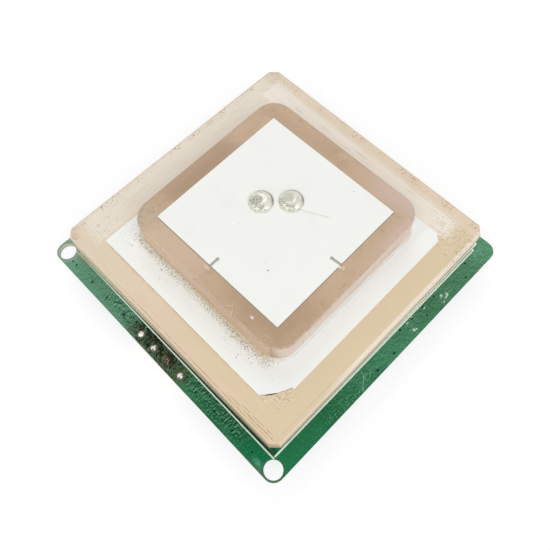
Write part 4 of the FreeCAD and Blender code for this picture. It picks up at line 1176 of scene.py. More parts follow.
class Workpiece:
    """One mesh on the bench, shaped in edit mode. All sizes are in millimetres."""

    def __init__(self, piece: bpy.types.Object, name: str) -> None:
        """Takes a mesh in hand.

        Args:
            piece: the mesh object.
            name: what it is called.
        """
        self.piece = piece
        piece.name = name
        piece.data.name = name

    @staticmethod
    def clear() -> None:
        """Leaves edit mode with nothing selected."""
        held = bpy.context.view_layer.objects.active
        if held is not None and held.mode != "OBJECT":
            bpy.ops.object.mode_set(mode="OBJECT")
        bpy.ops.object.select_all(action="DESELECT")

    @classmethod
    def pebble(cls, name: str, middle: Solid, radii: Solid, fineness: int) -> "Workpiece":
        """A ball pressed to three half sizes.

        Args:
            name: what it is called.
            middle: its middle.
            radii: its half sizes.
            fineness: how finely it is divided.

        Returns:
            The pebble.
        """
        cls.clear()
        place, scale = ([value * MM for value in triple] for triple in (middle, radii))
        bpy.ops.mesh.primitive_ico_sphere_add(subdivisions=fineness, radius=1.0, location=place, scale=scale)
        bpy.ops.object.transform_apply(location=True, rotation=True, scale=True)
        return cls(bpy.context.object, name)

    @classmethod
    def turned_ring(cls, name: str, outline: Sequence[Point], sides: int) -> "Workpiece":
        """A ring turned about the origin from a closed outline.

        Args:
            name: what it is called.
            outline: radius and height at each step, from the foot outside over the top to the foot inside.
            sides: the number of faces round it.

        Returns:
            The ring.
        """
        cls.clear()
        first = outline[0]
        bpy.ops.mesh.primitive_circle_add(vertices=sides, radius=first[0] * MM, location=(0, 0, first[1] * MM))
        bpy.ops.object.transform_apply(location=True, rotation=True, scale=True)
        work = cls(bpy.context.object, name)
        work.pick(Pick.EDGES, lambda middle, direction: True)
        radius, height = first
        for new_radius, new_height in [*outline[1:], first]:
            bpy.ops.mesh.extrude_edges_move(TRANSFORM_OT_translate={"value": (0, 0, (new_height - height) * MM)})
            share = new_radius / radius
            bpy.ops.transform.resize(value=(share, share, 1), center_override=(0, 0, new_height * MM))
            radius, height = new_radius, new_height
        work.merge(MERGED_RING)
        bpy.ops.mesh.normals_make_consistent(inside=False)
        return work

    @classmethod
    def copied(cls, name: str, node: str) -> "Workpiece":
        """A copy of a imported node, merged and ready to be shaped.

        Args:
            name: what the copy is called.
            node: the node's name.

        Returns:
            The copy.
        """
        work = cls(added(name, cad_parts[node].data.copy()), name)
        work.hold()
        bpy.ops.mesh.customdata_custom_splitnormals_clear()
        work.merge(MERGED_COPY)
        bpy.ops.mesh.dissolve_limited(angle_limit=math.radians(FLAT_ANGLE))
        return work

    @classmethod
    def joined(cls, name: str, parts: Sequence["Workpiece"]) -> "Workpiece":
        """Joins pieces into one.

        Args:
            name: what it is called.
            parts: what is joined, used up by it.

        Returns:
            The one piece.
        """
        parts[0].hold()
        for part in parts:
            part.piece.select_set(True)
        bpy.ops.object.join()
        return cls(parts[0].piece, name)

    def hold(self) -> None:
        """Selects this piece alone, in object mode."""
        self.clear()
        self.piece.select_set(True)
        bpy.context.view_layer.objects.active = self.piece

    def edit(self) -> None:
        """Opens edit mode on this piece alone."""
        if self.piece.mode != "EDIT":
            self.hold()
            bpy.ops.object.mode_set(mode="EDIT")

    def merge(self, distance: float) -> None:
        """Selects all and merges corners that are nearer than the distance."""
        self.edit()
        bpy.ops.mesh.select_all(action="SELECT")
        bpy.ops.mesh.remove_doubles(threshold=distance * MM)

    def pick(self, kind: Pick, test: Callable[[Vector, Vector], bool]) -> int:
        """Selects what passes a test and nothing else.

        Args:
            kind: corners or edges.
            test: takes the middle, in millimetres, and the normal of a corner or the direction of an edge.

        Returns:
            How many were chosen.
        """
        self.edit()
        bpy.ops.mesh.select_mode(type=kind.value)
        bpy.ops.mesh.select_all(action="DESELECT")
        shape = bmesh.from_edit_mesh(self.piece.data)
        if kind is Pick.CORNERS:
            found = [(corner, corner.co, corner.normal) for corner in shape.verts]
        else:
            ends = [(edge, edge.verts[0].co, edge.verts[1].co) for edge in shape.edges]
            found = [(edge, (first + last) / 2, (last - first).normalized()) for edge, first, last in ends]
        chosen = [element for element, middle, direction in found if test(middle / MM, direction)]
        for element in chosen:
            element.select_set(True)
        shape.select_flush_mode()
        bmesh.update_edit_mesh(self.piece.data)
        return len(chosen)

    def modified(self, kind: str, **settings: Any) -> "Workpiece":
        """Adds a modifier and applies it.

        Args:
            kind: the modifier's type.
            **settings: its properties.

        Returns:
            The same piece.
        """
        self.hold()
        modifier = self.piece.modifiers.new(kind.lower(), kind)
        for name, value in settings.items():
            setattr(modifier, name, value)
        bpy.ops.object.modifier_apply(modifier=modifier.name)
        return self

    def rounded(self, width: float, rounds: int = 3, angle: float = 25.0) -> "Workpiece":
        """Rounds every sharp edge."""
        settings = {"segments": rounds, "limit_method": "ANGLE", "angle_limit": math.radians(angle)}
        return self.modified("BEVEL", width=width * MM, **settings)

    def roughened(self, depth: float, size: float) -> "Workpiece":
        """Moves the surface in and out by clouds.

        Args:
            depth: how far it moves in all.
            size: the size of the clouds.

        Returns:
            The same piece.
        """
        clouds = bpy.data.textures.new(f"{self.piece.name}_clouds", "CLOUDS")
        clouds.noise_scale = size * MM
        return self.modified("DISPLACE", texture=clouds, texture_coords="LOCAL", strength=depth * MM, mid_level=0.5)

    def chipped(self, chips: Sequence[tuple[Solid, float]], flatness: float) -> "Workpiece":
        """Takes small chips out of this piece.

        Args:
            chips: the middle and the size of each.
            flatness: half the height of a chip of size one.

        Returns:
            The same piece.
        """
        for number, (middle, size) in enumerate(chips):
            radii = (size * 1.5, size * 1.5, size * flatness)
            chip = Workpiece.pebble(f"bite_{number}", middle, radii, 2).roughened(size * 0.6, size)
            self.modified("BOOLEAN", operation="DIFFERENCE", solver="EXACT", object=chip.piece)
            bpy.data.objects.remove(chip.piece)
        return self

    def moved(self, shift: Solid) -> "Workpiece":
        """Shifts the piece and keeps its origin."""
        self.clear()
        self.piece.data.transform(Matrix.Translation([v * MM for v in shift]))
        return self

    def twin(self, name: str) -> "Workpiece":
        """A copy of this piece with its own mesh."""
        self.clear()
        return Workpiece(added(name, self.piece.data.copy()), name)

    def finished(
        self, material: bpy.types.Material, slot: str, stands_for: Sequence[str] = (), angle: float = 35.0,
    ) -> bpy.types.Object:
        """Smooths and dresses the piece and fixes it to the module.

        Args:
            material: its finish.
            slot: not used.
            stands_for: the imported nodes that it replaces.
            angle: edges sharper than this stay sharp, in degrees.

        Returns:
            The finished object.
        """
        self.hold()
        bpy.ops.object.shade_smooth_by_angle(angle=math.radians(angle))
        self.piece.data.materials.clear()
        self.piece.data.materials.append(material)
        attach(self.piece, "root")
        if stands_for:
            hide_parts(*stands_for)
        log.info("piece %s: %d faces", self.piece.name, len(self.piece.data.polygons))
        return self.piece


class Palette:
    """All finishes of the module, made once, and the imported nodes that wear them."""

    def __init__(self) -> None:
        """Makes the materials."""
        self.mask = SolderMask().paint()
        self.ink = Ink().paint()
        self.lower_ceramic = LowerCeramic().paint()
        self.upper_ceramic = UpperCeramic().paint()
        self.silver = FiredSilver().paint()
        self.glue = Glue().paint()
        self.solder = Solder().paint()
        self.feed_solder = FeedSolder().paint()
        self.dull_solder = Solder("dull_solder", (182, 164, 134), (44, 42, 26), 0.6, 0.5, 0.1).paint()
        self.tinned_copper = Metal(
            "tinned_copper", (222, 220, 210), (178, 172, 156), 0.22, (0.3, 0.3, 0.3), 0.0, 0.01).paint()
        self.tinned_sheet = Metal(
            "tinned_sheet", (198, 200, 200), (166, 169, 172), 0.30, (0.05, 4.0, 0.3), 90.0, 0.003, 0.35, 0.6).paint()
        self.cell_steel = Metal("cell_steel", (200, 201, 202), (168, 168, 168), 0.24, (3.0, 0.05, 0.3)).paint()
        self.plated_cap = Metal("plated_cap", (214, 190, 128), (184, 158, 98), 0.28, (0.1, 0.1, 0.1)).paint()
        self.compound = Moulding("moulding_compound", (38, 38, 40), (26, 26, 28), 0.55, 0.06).paint()
        self.socket = Moulding("socket_plastic", (226, 220, 204), (212, 204, 184), 0.42, 0.1, 0.006).paint()
        self.light_base = Moulding("light_base", (222, 220, 210), (200, 196, 184), 0.5).paint()
        self.light_lens = Moulding("light_lens", (214, 226, 196), (190, 206, 160), 0.12, 0.3, 0.002).paint()
        self.chips = ChipCeramic().paint()
        self.grit = Grit().paint()
        self.flux = FluxResin().paint()

    def by_slot(self) -> dict[str, bpy.types.Material]:
        """The finish of each slot, by the name of the imported nodes' materials."""
        return {
            "board_laminate": self.mask, "legend_ink": self.ink, "adhesive": self.glue,
            "fired_silver": self.silver, "lower_tile": self.lower_ceramic, "upper_tile": self.upper_ceramic,
            "socket_plastic": self.socket, "tinned_sheet": self.tinned_sheet, "moulding_compound": self.compound,
            "plated_cap": self.plated_cap, "chip_ceramic": self.chips, "cell_steel": self.cell_steel,
            "tinned_copper": self.tinned_copper, "solder": self.solder,
            "light_base": self.light_base, "light_lens": self.light_lens}

    def dress_nodes(self) -> None:
        """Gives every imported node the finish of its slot."""
        finishes = self.by_slot()
        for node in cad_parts.values():
            slot = node.data.materials[0].name.split(".")[0]
            node.data.materials[0] = finishes[slot]
        for side in ("left", "back"):
            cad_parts[f"upper_feed_pin_{side}"].data.materials[0] = self.feed_solder


@dataclass
class LowerAntenna:
    """The lower tile with its chips, and its patch with a ground-off corner."""

    palette: Palette
    round_width: float = 0.09
    chip_flatness: float = 0.8
    chips: Sequence[tuple[Solid, float]] = (
        ((-19.45, -12.6, 8.35), 0.22), ((-19.5, 5.2, 8.3), 0.18), ((-6.1, -18.3, 8.35), 0.16),
        ((11.3, -18.32, 8.32), 0.2), ((18.42, 3.9, 8.33), 0.17), ((18.4, 17.6, 8.33), 0.26),
        ((3.2, 19.6, 8.33), 0.24), ((12.4, 19.62, 8.3), 0.3), ((-17.9, -17.75, 8.33), 0.3),
        ((18.4, 16.2, 4.4), 0.3))
    cut_from: float = 10.2
    cut_to: float = -12.2
    cut_past: float = 26.3
    cut_lengths: int = 5
    wander: float = 0.11
    seed: int = 11

    def tile(self) -> bpy.types.Object:
        """The tile, rounded along its edges and chipped."""
        work = Workpiece.copied("lower_tile_body", "lower_ceramic").rounded(self.round_width)
        work.chipped(self.chips, self.chip_flatness)
        return work.finished(self.palette.lower_ceramic, "lower_tile", ["lower_ceramic"])

    def on_cut(self, middle: Vector, direction: Vector) -> bool:
        """Tells whether an edge of the patch lies along its ground-off corner.

        Args:
            middle: the middle of the edge.
            direction: its direction.

        Returns:
            True where it does.
        """
        near = middle.x > self.cut_from and middle.y < self.cut_to and middle.x - middle.y > self.cut_past
        slanting = all(abs(abs(part) - 1) > 0.002 for part in direction.xy)
        return near and slanting and abs(direction.z) < 0.5

    def patch(self) -> bpy.types.Object:
        """The patch, ragged where its corner is ground off."""
        work = Workpiece.copied("lower_patch_coat", "lower_patch")
        chosen = work.pick(Pick.EDGES, self.on_cut)
        bpy.ops.mesh.subdivide(number_cuts=self.cut_lengths)
        shape = bmesh.from_edit_mesh(work.piece.data)
        draw, reach = random.Random(self.seed), self.wander
        shifts: dict[Point, Vector] = {}
        for corner in shape.verts:
            if corner.select:
                key = (round(corner.co.x / MM, 3), round(corner.co.y / MM, 3))
                if key not in shifts:
                    shifts[key] = Vector((draw.uniform(-reach, reach), draw.uniform(-reach, reach), 0)) * MM
                corner.co += shifts[key]
        bmesh.update_edit_mesh(work.piece.data)
        log.info("ground edge: %d lengths", chosen)
        return work.finished(self.palette.silver, "fired_silver", ["lower_patch"])

    def build(self) -> None:
        """Builds the tile and its patch."""
        self.tile()
        self.patch()


@dataclass
class UpperAntenna:
    """The upper tile, its adhesive bead and its two feed joints."""

    palette: Palette
    coat_top: float = COAT_TOP
    round_width: float = 0.13
    chip_flatness: float = 0.7
    chips: Sequence[tuple[Solid, float]] = (
        ((9.9, 1.15, 12.55), 0.10), ((-1.05, -11.85, 12.5), 0.2), ((12.3, -4.2, 12.5), 0.17),
        ((-13.3, 6.0, 12.5), 0.15), ((5.4, -11.75, 12.5), 0.16), ((2.5, 13.7, 12.52), 0.15),
        ((8.9, -11.6, 12.5), 0.14), ((12.25, 5.3, 12.5), 0.15))
    bead_foot: float = 8.50
    bead_flatness: float = 0.62
    bead_half: float = 12.2
    joint_outline: Sequence[Point] = (
        (1.58, 0.0), (1.575, 0.06), (1.54, 0.17), (1.47, 0.28), (1.36, 0.385), (1.22, 0.47), (1.06, 0.535),
        (0.90, 0.575), (0.78, 0.602), (0.68, 0.622), (0.60, 0.628), (0.60, 0.59), (0.735, 0.45), (0.735, 0.0))

    def tile(self) -> bpy.types.Object:
        """The tile, rounded along its edges and chipped."""
        work = Workpiece.copied("upper_tile_body", "upper_ceramic").rounded(self.round_width)
        work.chipped(self.chips, self.chip_flatness)
        return work.finished(self.palette.upper_ceramic, "upper_tile", ["upper_ceramic"])

    def on_bead(self, middle: Vector, direction: Vector) -> bool:
        """Tells whether an edge of the adhesive lies level along its outer side."""
        out = max(abs(middle.x - UPPER_MIDDLE[0]), abs(middle.y - UPPER_MIDDLE[1]))
        return out > self.bead_half and abs(direction.z) < 0.05

    def bead(self) -> bpy.types.Object:
        """The adhesive, its squeezed-out bead low and uneven."""
        work = Workpiece.copied("squeezed_adhesive", "upper_adhesive")
        work.pick(Pick.CORNERS, lambda middle, direction: middle.z > self.bead_foot + 0.06)
        bpy.ops.transform.resize(value=(1, 1, self.bead_flatness), center_override=(0, 0, self.bead_foot * MM))
        work.pick(Pick.EDGES, self.on_bead)
        bpy.ops.mesh.subdivide(number_cuts=6)
        bpy.ops.mesh.select_all(action="SELECT")
        bpy.ops.mesh.quads_convert_to_tris()
        work.roughened(0.08, 1.1)
        return work.finished(self.palette.glue, "adhesive", ["upper_adhesive"], 60.0)

    def joint(self, side: str, middle: Point) -> bpy.types.Object:
        """One feed joint: a low solder dome, drawn over the rim of the pin's head.

        Args:
            side: which feed it is.
            middle: its middle in plan.

        Returns:
            The finished joint.
        """
        work = Workpiece.turned_ring(f"feed_dome_{side}", self.joint_outline, 64)
        work.moved((*middle, self.coat_top)).roughened(0.03, 0.9)
        return work.finished(self.palette.feed_solder, "solder", [f"upper_feed_solder_{side}"], 70.0)

    def build(self) -> None:
        """Builds the tile, its bead and its joints."""
        self.tile()
        self.bead()
        for side, middle in FEED_JOINTS.items():
            self.joint(side, middle)


@dataclass
class ContactRow:
    """The four contact joints at the board's front edge, and the flux burnt round them."""

    palette: Palette
    places: Sequence[float] = (-3.6, -1.1, 1.4, 3.9)
    row: float = -20.0
    dull: int = 3
    clouds: Point = (0.05, 0.4)
    dull_clouds: Point = (0.14, 0.22)
    board_top: float = BOARD_TOP
    outline: Sequence[Point] = (
        (0.55, 0.0), (0.52, 0.05), (0.44, 0.13), (0.37, 0.22), (0.30, 0.305), (0.20, 0.365), (0.10, 0.392),
        (0.02, 0.40), (0.02, 0.0))
    lumps: Sequence[tuple[Point, Solid]] = (
        ((-4.55, -19.45), (0.36, 0.26, 0.07)), ((-4.2, -19.05), (0.30, 0.2, 0.06)), ((-3.5, -19.05), (0.34, 0.2, 0.07)),
        ((-2.8, -19.25), (0.5, 0.28, 0.10)), ((-2.3, -19.6), (0.42, 0.36, 0.12)), ((-2.1, -19.0), (0.46, 0.24, 0.12)),
        ((-1.9, -20.3), (0.34, 0.3, 0.08)), ((-1.45, -19.15), (0.44, 0.28, 0.14)), ((-0.8, -19.1), (0.40, 0.24, 0.10)),
        ((-0.3, -19.45), (0.46, 0.32, 0.12)), ((0.2, -19.9), (0.4, 0.3, 0.1)), ((0.3, -19.1), (0.36, 0.2, 0.09)),
        ((0.8, -19.35), (0.35, 0.24, 0.10)), ((0.6, -20.5), (0.34, 0.2, 0.06)), ((1.3, -19.3), (0.34, 0.24, 0.12)),
        ((2.0, -19.55), (0.3, 0.26, 0.1)), ((2.2, -20.2), (0.26, 0.2, 0.08)), ((3.3, -19.4), (0.24, 0.18, 0.05)),
        ((4.5, -19.55), (0.25, 0.2, 0.05)), ((-5.0, -19.9), (0.24, 0.2, 0.05)), ((-3.2, -20.62), (0.3, 0.16, 0.05)),
        ((-0.3, -20.3), (0.3, 0.22, 0.06)), ((1.9, -19.0), (0.26, 0.16, 0.06)))

    def joint(self, number: int) -> bpy.types.Object:
        """One contact joint. The dull one is lumpy.

        Args:
            number: its place in the row, from 1.

        Returns:
            The finished joint.
        """
        work = Workpiece.turned_ring(f"contact_joint_{number}", self.outline, 32)
        work.moved((self.places[number - 1], self.row, self.board_top))
        dull = number == self.dull
        work.roughened(*(self.dull_clouds if dull else self.clouds))
        finish = self.palette.dull_solder if dull else self.palette.solder
        return work.finished(finish, "solder", [f"contact_solder_{number}"], 70.0)

    def flux(self) -> bpy.types.Object:
        """Lumps of burnt flux round the joints."""
        lumps = []
        for number, (middle, radii) in enumerate(self.lumps):
            lump = Workpiece.pebble(f"lump_{number}", (*middle, self.board_top), radii, 3)
            lumps.append(lump.roughened(0.12, 0.2))
        return Workpiece.joined("burnt_flux", lumps).finished(self.palette.flux, "adhesive", (), 60.0)

    def build(self) -> None:
        """Builds the joints and the flux."""
        for number in range(1, len(self.places) + 1):
            self.joint(number)
        self.flux()


@dataclass
class Dirt:
    """Grains along the upper tile's foot, specks on the patches, and a hair.

    Heaps, spreads and coarse hold the middle, the width and the height of peaks
    along the tile's front.
    """

    palette: Palette
    tile_middle: Point = UPPER_MIDDLE
    tile_half: float = 12.7
    tile_turn: float = UPPER_TURN
    corner_radius: float = 2.8
    floor: float = 8.40
    bead_width: float = 0.42
    bead_height: float = 0.30
    grains: int = 2700
    seed: int = 7
    span: Point = (-13.4, 12.4)
    density: float = 0.50
    heaps: Sequence[Solid] = ((5.5, 3.6, 0.50), (-11.0, 2.2, 0.25))
    spread: float = 0.16
    spreads: Sequence[Solid] = ((7.4, 3.0, 0.70), (-12.4, 1.4, 0.80))
    huddled: float = 0.45
    huddle: float = 0.20
    least: float = 0.022
    growth: float = 0.060
    coarse: Sequence[Solid] = ((-8.0, 4.0, 0.45),)
    farthest: float = 3.0
    strays: int = 60
    stray_low: Point = (-14.5, -14.6)
    stray_high: Point = (14.5, -11.5)
    specks: Sequence[tuple[Point, float]] = (
        ((4.2, -5.0), 0.10), ((3.3, -4.5), 0.06), ((4.1, 9.8), 0.07), ((-2.6, -3.2), 0.06), ((7.2, 3.3), 0.04))
    coat_top: float = COAT_TOP
    hair: Sequence[Solid] = (
        (1.1, 3.1, 12.95), (1.7, 3.45, 12.72), (2.7, 4.05, 12.66), (3.7, 4.6, 12.64), (4.5, 5.0, 12.66))
    hair_radius: float = 0.022

    def foot_point(self, along: float, out: float) -> Point:
        """A point beside the tile's front foot, round its two front corners.

        Args:
            along: the distance from the middle of the front side, to the right.
            out: the distance from the wall.

        Returns:
            The point in plan.
        """
        straight = self.tile_half - self.corner_radius
        if abs(along) <= straight:
            local = (along, -self.tile_half - out)
        else:
            angle = min((abs(along) - straight) / self.corner_radius, math.pi / 2)
            reach = self.corner_radius + out
            local = (math.copysign(straight + reach * math.sin(angle), along), -straight - reach * math.cos(angle))
        x, y = turned(local, self.tile_turn)
        return (x + self.tile_middle[0], y + self.tile_middle[1])

    def places(self) -> list[tuple[float, float, float, float, float]]:
        """Where the grains lie, how large they are and how they are turned.

        Returns:
            For each grain its place, its size and its turn.
        """
        draw = random.Random(self.seed)
        placed = []
        while len(placed) < self.grains:
            along = draw.uniform(*self.span)
            if draw.random() > peaked(along, self.density, self.heaps):
                continue
            huddled = draw.random() < self.huddled
            spread = self.huddle if huddled else peaked(along, self.spread, self.spreads)
            out = 0.02 + draw.expovariate(1.0 / spread)
            if out > self.farthest:
                continue
            x, y = self.foot_point(along, out)
            size = (self.least + self.growth * draw.random() ** 3.0) * peaked(along, 1.0, self.coarse)
            height = self.floor + self.bead_height * max(0.0, min(1.0, (self.bead_width - out) / 0.25)) + size * 0.35
            placed.append((x, y, height, size, draw.uniform(0, 360)))
        for _ in range(self.strays):
            x, y = (draw.uniform(low, high) for low, high in zip(self.stray_low, self.stray_high))
            placed.append((x, y, self.floor + 0.015, 0.02 + 0.03 * draw.random(), draw.uniform(0, 360)))
        for (x, y), radius in self.specks:
            placed.append((x, y, self.coat_top + radius * 0.2, radius, draw.uniform(0, 360)))
        return placed

    def scatter(self) -> bpy.types.Object:
        """All the grains as one piece, each a copy of one of three."""
        draw = random.Random(self.seed + 1)
        models = []
        for number in range(3):
            model = Workpiece.pebble(f"grain_{number}", (0, 0, 0), (1.0, 0.8, 0.6), 1)
            for corner in model.piece.data.vertices:
                corner.co *= draw.uniform(0.7, 1.25)
            models.append(model)
        copies = []
        for number, (x, y, height, size, turn) in enumerate(self.places()):
            copy = models[number % 3].piece.data.copy()
            stand = Matrix.Rotation(math.radians(turn), 4, "Z") @ Matrix.Scale(size, 4)
            copy.transform(Matrix.Translation((x * MM, y * MM, height * MM)) @ stand)
            copies.append(Workpiece(added(f"grit_{number}", copy), f"grit_{number}"))
        for model in models:
            bpy.data.objects.remove(model.piece)
        return Workpiece.joined("grit", copies).finished(self.palette.grit, "upper_tile", (), 80.0)

    def strand(self) -> bpy.types.Object:
        """The hair that lies from the back joint across the patch."""
        Workpiece.clear()
        line = bpy.data.curves.new("hair", "CURVE")
        line.dimensions = "3D"
        line.bevel_depth = self.hair_radius * MM
        line.bevel_resolution = 1
        path = line.splines.new("NURBS")
        path.points.add(len(self.hair) - 1)
        for point, place in zip(path.points, self.hair):
            point.co = (*[v * MM for v in place], 1.0)
        path.order_u = 3
        path.use_endpoint_u = True
        path.resolution_u = 6
        piece = added("hair", line)
        piece.select_set(True)
        bpy.context.view_layer.objects.active = piece
        bpy.ops.object.convert(target="MESH")
        finish = Moulding("hair_fibre", (206, 200, 186), (180, 172, 154), 0.5, 0.05, 0.002).paint()
        return Workpiece(bpy.context.object, "hair").finished(finish, "adhesive", (), 60.0)

    def build(self) -> None:
        """Builds the grains and the hair."""
        self.scatter()
        self.strand()


@dataclass
class PlatedHoles:
    """Small plated holes under the lacquer, each a low rim with a dark pit."""

    palette: Palette
    name: str = "via"
    level: float = BOARD_TOP
    outline: Sequence[Point] = ((0.21, 0.0), (0.19, 0.012), (0.16, 0.016), (0.12, 0.010), (0.10, 0.003), (0.10, 0.0))
    pit: Solid = (0.16, 0.184, 0.019)
    fineness: int = 2
    shades: tuple[Levels, Levels] = ((4, 44, 30), (2, 26, 18))
    places: Sequence[Solid] = (
        (-17.89, -19.98, 0.9), (-17.1, -19.98, 1.2), (-13.68, -19.98, 1.4), (-10.6, -19.98, 1.3),
        (-7.2, -19.9, 1.5), (-5.3, -19.35, 0.9), (6.64, -19.98, 1.1), (9.84, -19.98, 1.0), (13.07, -19.98, 1.1),
        (16.48, -19.98, 1.0), (19.05, 3.36, 1.1), (19.1, 5.6, 1.2), (19.1, 7.73, 1.1), (19.1, 9.9, 1.0),
        (19.1, 16.4, 1.1), (20.4, -2.43, 1.3), (20.4, 0.61, 1.3), (20.15, 7.3, 0.9), (20.4, 14.9, 1.1))

    def build(self) -> None:
        """Builds the rims, and a pit in each, as large as its place says."""
        first = Workpiece.turned_ring(self.name, self.outline, 16)
        rims, pits = [], []
        for number, (x, y, size) in enumerate(self.places):
            rims.append(first.twin(f"{self.name}_{number}").moved((x, y, self.level)))
            radii = (self.pit[0] * size, self.pit[1] * size, self.pit[2])
            pits.append(Workpiece.pebble(f"{self.name}_pit_{number}", (x, y, self.level), radii, self.fineness))
        bpy.data.objects.remove(first.piece)
        Workpiece.joined(f"{self.name}_rims", rims).finished(self.palette.mask, "board_laminate", (), 60.0)
        dark = Moulding(f"{self.name}_pit", *self.shades, 0.5, 0.08, 0.002, 0.1).paint()
        Workpiece.joined(f"{self.name}_pits", pits).finished(dark, "board_laminate", (), 60.0)


@dataclass
class WrinkledLacquer:
    """The lacquer along the front edge, dried in small slanting folds, with a dimple at each plated hole.

    The folds are a level of rest with coarse and fine clouds added. They fade
    towards the ends and sides, and are weakest at the left.
    """

    palette: Palette
    board_top: float = BOARD_TOP
    low: Point = (-17.9, -20.82)
    high: Point = (17.2, -18.80)
    cell: float = 0.07
    fold: Point = (0.20, 0.42)
    fold_turn: float = 28.0
    depth: float = 0.11
    rest: float = 0.42
    coarse: float = 0.62
    fine: float = 0.24
    finer: Point = (2.3, 2.1)
    sunk: float = 0.02
    calm_from: float = 12.5
    left_fade: float = 1.6
    front_fade: float = 0.30
    back_fade: float = 0.16
    weakest: float = 0.35
    weakest_at: float = -15.5
    gain: float = 0.06
    dimple: Point = (0.13, 0.16)
    thickness: float = 0.02
    dimples: Sequence[Solid] = ()

    def share(self, x: float, y: float) -> float:
        """How strongly the lacquer is folded at a place, from 0 to 1.

        Args:
            x: the place across.
            y: the place along.

        Returns:
            The share.
        """
        ends = min((x - self.low[0]) / self.left_fade, (self.high[0] - x) / (self.high[0] - self.calm_from))
        sides = min((y - self.low[1]) / self.front_fade, (self.high[1] - y) / self.back_fade)
        strength = min(1.0, max(self.weakest, self.weakest + (x - self.weakest_at) * self.gain))
        return max(0.0, min(1.0, ends, sides)) * strength

    def height(self, x: float, y: float) -> float:
        """The height of the skin above the board at a place.

        Args:
            x: the place across.
            y: the place along.

        Returns:
            The height, below zero where the skin goes into the board.
        """
        across, along = (part / size for part, size in zip(turned((x, y), -self.fold_turn), self.fold))
        coarse = noise.noise(Vector((across, along, 3.0)))
        fine = noise.noise(Vector((across * self.finer[0], along * self.finer[1], 9.0)))
        share = self.share(x, y)
        for place_x, place_y, size in self.dimples:
            far = math.hypot(x - place_x, y - place_y)
            share = min(share, max(0.0, (far / size - self.dimple[0]) / self.dimple[1]))
        folds = max(0.0, self.rest + self.coarse * coarse + self.fine * fine)
        return folds * self.depth * share - self.sunk * (1.0 - min(1.0, share * 2.5))

    def build(self) -> bpy.types.Object:
        """The folded skin."""
        Workpiece.clear()
        width, length = self.high[0] - self.low[0], self.high[1] - self.low[1]
        middle = (*[(low + high) / 2 * MM for low, high in zip(self.low, self.high)], self.board_top * MM)
        columns, rows = round(width / self.cell), round(length / self.cell)
        bpy.ops.mesh.primitive_grid_add(x_subdivisions=columns, y_subdivisions=rows, size=MM, location=middle)
        bpy.ops.transform.resize(value=(width, length, 1.0), center_override=middle)
        bpy.ops.object.transform_apply(location=True, rotation=True, scale=True)
        work = Workpiece(bpy.context.object, "wrinkled_lacquer")
        for corner in work.piece.data.vertices:
            corner.co.z += self.height(corner.co.x / MM, corner.co.y / MM) * MM
        work.modified("SOLIDIFY", thickness=self.thickness * MM, offset=-1.0)
        return work.finished(self.palette.mask, "board_laminate", (), 80.0)


@dataclass
class UndersideDetails:
    """Rows of plated holes under the lacquer of the underside, gilded test pads and two sighting marks."""

    palette: Palette
    board_base: float = BOARD_BASE
    rim: Sequence[Point] = ((0.24, 0.0), (0.22, -0.014), (0.18, -0.018), (0.13, -0.012), (0.11, -0.003), (0.11, 0.0))
    pit: Solid = (0.15, 0.15, 0.015)
    shades: tuple[Levels, Levels] = ((10, 46, 30), (6, 30, 20))
    pitch: float = 2.5
    edge: float = 19.85
    row: float = -12.45
    right_shift: float = 1.25
    back_shift: float = -0.6
    row_ends: Point = (-11.0, 17.0)
    tracks_to: float = 5.2
    loose: Sequence[Point] = (
        (-13.7, 10.6), (-15.4, 11.8), (-13.8, 12.9), (-17.6, 13.4), (-18.6, -17.1), (-16.4, -17.4), (-12.2, -15.1),
        (-11.0, -13.9), (9.6, -15.3), (12.2, -16.6), (14.8, -14.6), (7.4, -16.9))
    pads: Sequence[Solid] = (
        (18.6, -6.0, 0.58), (18.6, -3.8, 0.58), (18.6, -1.6, 0.58), (18.6, 0.6, 0.58), (18.6, 2.8, 0.58),
        (-17.9, 17.9, 0.5), (16.0, -17.3, 0.5))

    def places(self) -> list[Point]:
        """The places of the plated holes.

        Returns:
            Those along the right and back edges, those in front of the shield, and the loose ones.
        """
        steps = [number * self.pitch for number in range(-7, 8)]
        right = [(self.edge, step + self.right_shift) for step in steps]
        back = [(step + self.back_shift, self.edge) for step in steps]
        first, last = self.row_ends
        front = [(step, self.row) for step in steps if abs(step) > self.tracks_to and first < step < last]
        return [*right, *back, *front, *self.loose]

    def build(self) -> None:
        """Builds the plated holes and the pads."""
        holes = [(x, y, 1.0) for x, y in self.places()]
        PlatedHoles(self.palette, "lower_via", self.board_base, self.rim, self.pit, 1, self.shades, holes).build()
        gilded = [
            Workpiece.pebble(f"test_pad_{number}", (x, y, self.board_base), (radius, radius, 0.03), 3)
            for number, (x, y, radius) in enumerate(self.pads)]
        Workpiece.joined("test_pads", gilded).finished(self.palette.plated_cap, "plated_cap", (), 60.0)


@dataclass
class Softbox:
    """A square lamp at a place, aimed at the module."""

    name: str
    place: Solid
    side: float
    radiance: float
    aim: Solid = (0.0, 0.0, 0.006)

    def hang(self) -> None:
        """Puts up the lamp. Its power gives its face the named radiance."""
        lamp = bpy.data.lights.new(self.name, "AREA")
        lamp.shape = "SQUARE"
        lamp.size = self.side
        lamp.energy = self.radiance * math.pi * self.side ** 2
        holder = added(self.name, lamp)
        holder.location = self.place
        away = Vector(self.place) - Vector(self.aim)
        holder.rotation_euler = away.to_track_quat("Z", "Y").to_euler()


